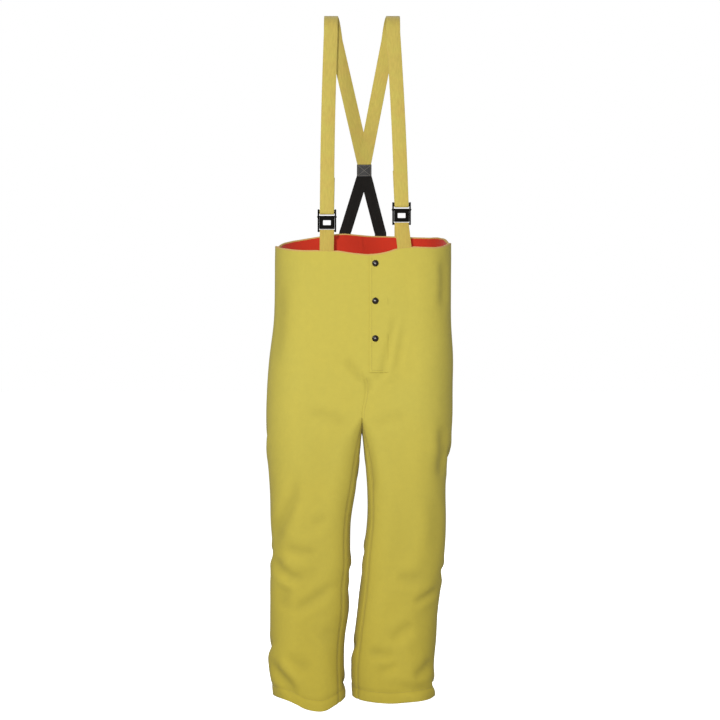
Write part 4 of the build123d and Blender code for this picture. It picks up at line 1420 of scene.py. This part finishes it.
class TROUSERS_OT_buckles(Step, bpy.types.Operator):
    """Make the buckles: frames with bars and lugs, pins, and levers with a window and a rolled lip"""

    bl_idname = "trousers.buckles"
    bl_label = "Buckles"

    def execute(self, context):
        bare = (0.02, 0.018, 0.014)
        black = coated_metal("buckle_black", colour("buckle"), bare, 0.0, 0.5, 0.4, shine=0.03)
        steel = coated_metal("pin_steel", (0.62, 0.62, 0.60), (0.75, 0.75, 0.73), 1.0, 0.3, 0.4)
        inside = BUCKLE_HALF - RAIL_WIDTH
        bar_reach, pin_reach = inside + 0.002, BUCKLE_HALF + 0.0012
        for side in SIDES:
            x, y, pivot = JOINTS[f"{side}_lever_pivot"]["pos_m"]
            top, bottom = pivot + RAIL_TOP, pivot - RAIL_BOTTOM
            low, high = y - RAIL_HALF_DEPTH, y + RAIL_HALF_DEPTH
            parts = [
                rod(x - bar_reach, x + bar_reach, y, pivot + BUCKLE_RISE, TOP_BAR_RADIUS, 0.0002),
                rod(x - bar_reach, x + bar_reach, y, pivot - BOTTOM_BAR_DROP, BOTTOM_BAR_RADIUS, 0.0002),
            ]
            for way in (-1, 1):
                near, far = sorted((x + way * inside, x + way * BUCKLE_HALF))
                parts.append(slab(rounded_box(near, far, bottom, top, 0.0018), low, high, 0.0008))
                for drop in LUG_DROPS:
                    near, far = sorted((x + way * (inside - 0.0026), x + way * (inside + 0.001)))
                    lug = rounded_box(near, far, top - drop - 0.0032, top - drop, 0.0009)
                    parts.append(slab(lug, low + 0.0004, y - 0.0002, 0.0004))
                near, far = sorted((x + way * (inside + 0.0002), x + way * (BUCKLE_HALF + 0.0007)))
                boss = np.array(arc((near + far) / 2, pivot, BOSS_RADIUS, 0, 345, 24))
                parts.append(slab(boss, low - 0.0004, high + 0.0004, 0.0004))
            whole = metal_piece(f"{side}_buckle_frame_metal", parts, black, "root")
            stands_in(whole, "buckle", f"{side}_buckle_frame")
            pin_rod = rod(x - pin_reach, x + pin_reach, y, pivot, PIN_RADIUS, 0.0004)
            pin = metal_piece(f"{side}_buckle_pin_steel", [pin_rod], steel, "root")
            stands_in(pin, "pin", f"{side}_buckle_pin")
            front, back = y - LEVER_FRONT, y - LEVER_BACK
            x1, x2 = x - LEVER_HALF, x + LEVER_HALF
            left, right, low, high = x - WINDOW_HALF, x + WINDOW_HALF, pivot - WINDOW_LOW, pivot - WINDOW_HIGH
            plate = rounded_box(x1, x2, pivot - LEVER_LENGTH, pivot + BARREL_RADIUS - 0.0004, 0.0024)
            opening = rounded_box(left, right, low, high, 0.0012)
            ledge, lip_height = WINDOW_LEDGE, pivot - LEVER_LENGTH + LIP_RADIUS
            border = rounded_box(left - ledge, right + ledge, low - ledge, high + ledge, 0.0026)
            lever = metal_piece(f"{side}_buckle_lever_metal", [
                framed(plate, opening, front, back, 0.0007),
                framed(border, opening, front - 0.0006, front + 0.0004, 0.0003),
                rod(x1 + 0.003, x2 - 0.003, front + 0.0004, lip_height, LIP_RADIUS, 0.0006),
                tube(x1, x2, y, pivot, PIN_RADIUS + 0.0001, BARREL_RADIUS),
            ], black, f"{side}_lever")
            stands_in(lever, "buckle", f"{side}_buckle_lever")
        return {"FINISHED"}


class TROUSERS_OT_stitching(Step, bpy.types.Operator):
    """Sew the topstitching of the seams, the hems and the fly"""

    bl_idname = "trousers.stitching"
    bl_label = "Stitching"

    def execute(self, context):
        runs = []
        leg_rows = np.arange(CROTCH_ROW + 3, LAST_ROW - 1, 0.5)
        side_rows = np.arange(2, LAST_ROW - 1, 0.5)
        seat_rows = np.arange(2, CROTCH_ROW - 1, 0.5)
        for side in SIDES:
            grid = grid_of(side)
            for rows, column in (
                (leg_rows, STITCHED_COLUMN - 2 + 1.2), (leg_rows, STITCHED_COLUMN - 2 + 2.6),
                (side_rows, SIDE_COLUMN + 1.2), (side_rows, SIDE_COLUMN + 2.4),
                (seat_rows, BACK_COLUMN - 1.3), (LAST_ROW - 5.6, np.arange(0, RING, 0.5)),
            ):
                runs.append(on_grid(grid, rows, column))
        runs.append(on_grid(grid_of("left"), np.arange(ROWS_FLY + 3, CROTCH_ROW + 1, 0.5), 1.3))
        sewn = stitch_rows("shell_topstitching", runs, yellow_thread(), pitch=sizes().stitch_pitch)
        return {"FINISHED"}


def area_light(name, place, target, size, power, colour=(1, 1, 1)):
    light = bpy.data.lights.new(name, "AREA")
    light.shape = "DISK"
    light.size = size
    light.energy = power
    light.color = colour
    lamp = bpy.data.objects.new(name, light)
    bpy.context.scene.collection.objects.link(lamp)
    lamp.location = place
    away = np.array(target, float) - np.array(place, float)
    lamp.rotation_euler = Vector(away).to_track_quat("-Z", "Y").to_euler()
    return lamp


class TROUSERS_OT_stage(Step, bpy.types.Operator):
    """Make the floor, the light and the camera"""

    bl_idname = "trousers.stage"
    bl_label = "Stage"

    def execute(self, context):
        scene = context.scene
        scene.view_settings.view_transform = "Standard"
        world = bpy.data.worlds.new("studio")
        world.use_nodes = True
        # A white room to look at, whose walls throw less light than they show.
        background = world.node_tree.nodes["Background"]
        background.inputs["Color"].default_value = (1, 1, 1, 1)
        rays = world.node_tree.nodes.new("ShaderNodeLightPath")
        strength = 0.36 + Wire(world.node_tree, rays.outputs["Is Camera Ray"]) * 0.64
        world.node_tree.links.new(strength.socket, background.inputs["Strength"])
        scene.world = world
        paper = Finish("studio_floor")
        place = paper.node("ShaderNodeTexCoord", {}, {}, output=3)
        tone = paper.noise(place, 3, 2)
        floor_finish = paper.finish({
            "Base Color": paper.mix(tone, (0.93, 0.93, 0.92), (0.96, 0.96, 0.95)), "Roughness": 0.9,
            "Emission Color": (1, 1, 1), "Emission Strength": 0.72,
        })
        floor_level = CAD_BOX[0][2] - 0.12
        mesh = bpy.data.meshes.new("floor")
        corners = [(-1, -1), (1, -1), (1, 1), (-1, 1)]
        reach = 40
        mesh.from_pydata([(a * reach, b * reach, floor_level) for a, b in corners], [], [(0, 1, 2, 3)])
        mesh.materials.append(floor_finish)
        floor = bpy.data.objects.new("floor", mesh)
        scene.collection.objects.link(floor)
        floor.visible_diffuse = floor.visible_glossy = False
        middle = (0, 0, -0.85)
        area_light("key", (-0.12, -3.6, -0.55), middle, 0.07, 76)
        area_light("fill", (-1.5, -3.2, 0.5), middle, 1.4, 40)
        area_light("rim", (-2.6, -0.9, -0.3), (0, -0.12, -0.7), 0.12, 2.5)
        area_light("back", (0.6, 3.6, 0.6), middle, 1.6, 70)
        camera_data = bpy.data.cameras.new("camera")
        distance, view_height = 3.6, 1.872
        camera_data.sensor_width = 36
        camera_data.lens = 36 * distance / view_height
        camera = bpy.data.objects.new("camera", camera_data)
        camera.location = (-0.0052, -distance, -0.8411)
        camera.rotation_euler = (math.pi / 2, 0, 0)
        scene.collection.objects.link(camera)
        scene.camera = camera
        return {"FINISHED"}


STEPS = (
    TROUSERS_OT_shell, TROUSERS_OT_lining, TROUSERS_OT_rim, TROUSERS_OT_fly, TROUSERS_OT_snaps,
    TROUSERS_OT_braces, TROUSERS_OT_elastics, TROUSERS_OT_buckles, TROUSERS_OT_stitching,
    TROUSERS_OT_stage,
)


class TROUSERS_PT_panel(bpy.types.Panel):
    """The trousers' steps in the sidebar."""

    bl_idname = "TROUSERS_PT_panel"
    bl_label = "Bunker Trousers"
    bl_space_type = "VIEW_3D"
    bl_region_type = "UI"
    bl_category = "Trousers"

    def draw(self, context):
        for step in STEPS:
            self.layout.operator(step.bl_idname)
        for group in (context.scene.trouser_sizes, context.scene.trouser_colours):
            for name in group.bl_rna.properties.keys():
                if name not in ("rna_type", "name"):
                    self.layout.prop(group, name)


CLASSES = (TrouserColours, TrouserSizes, *STEPS, TROUSERS_PT_panel)


def register():
    for item in CLASSES:
        bpy.utils.register_class(item)
    bpy.types.Scene.trouser_colours = bpy.props.PointerProperty(type=TrouserColours)
    bpy.types.Scene.trouser_sizes = bpy.props.PointerProperty(type=TrouserSizes)


def unregister():
    del bpy.types.Scene.trouser_sizes
    del bpy.types.Scene.trouser_colours
    for item in reversed(CLASSES):
        bpy.utils.unregister_class(item)


def main():
    register()
    for step in STEPS:
        group, name = step.bl_idname.split(".")
        getattr(getattr(bpy.ops, group), name)()


if __name__ == "__main__":
    main()
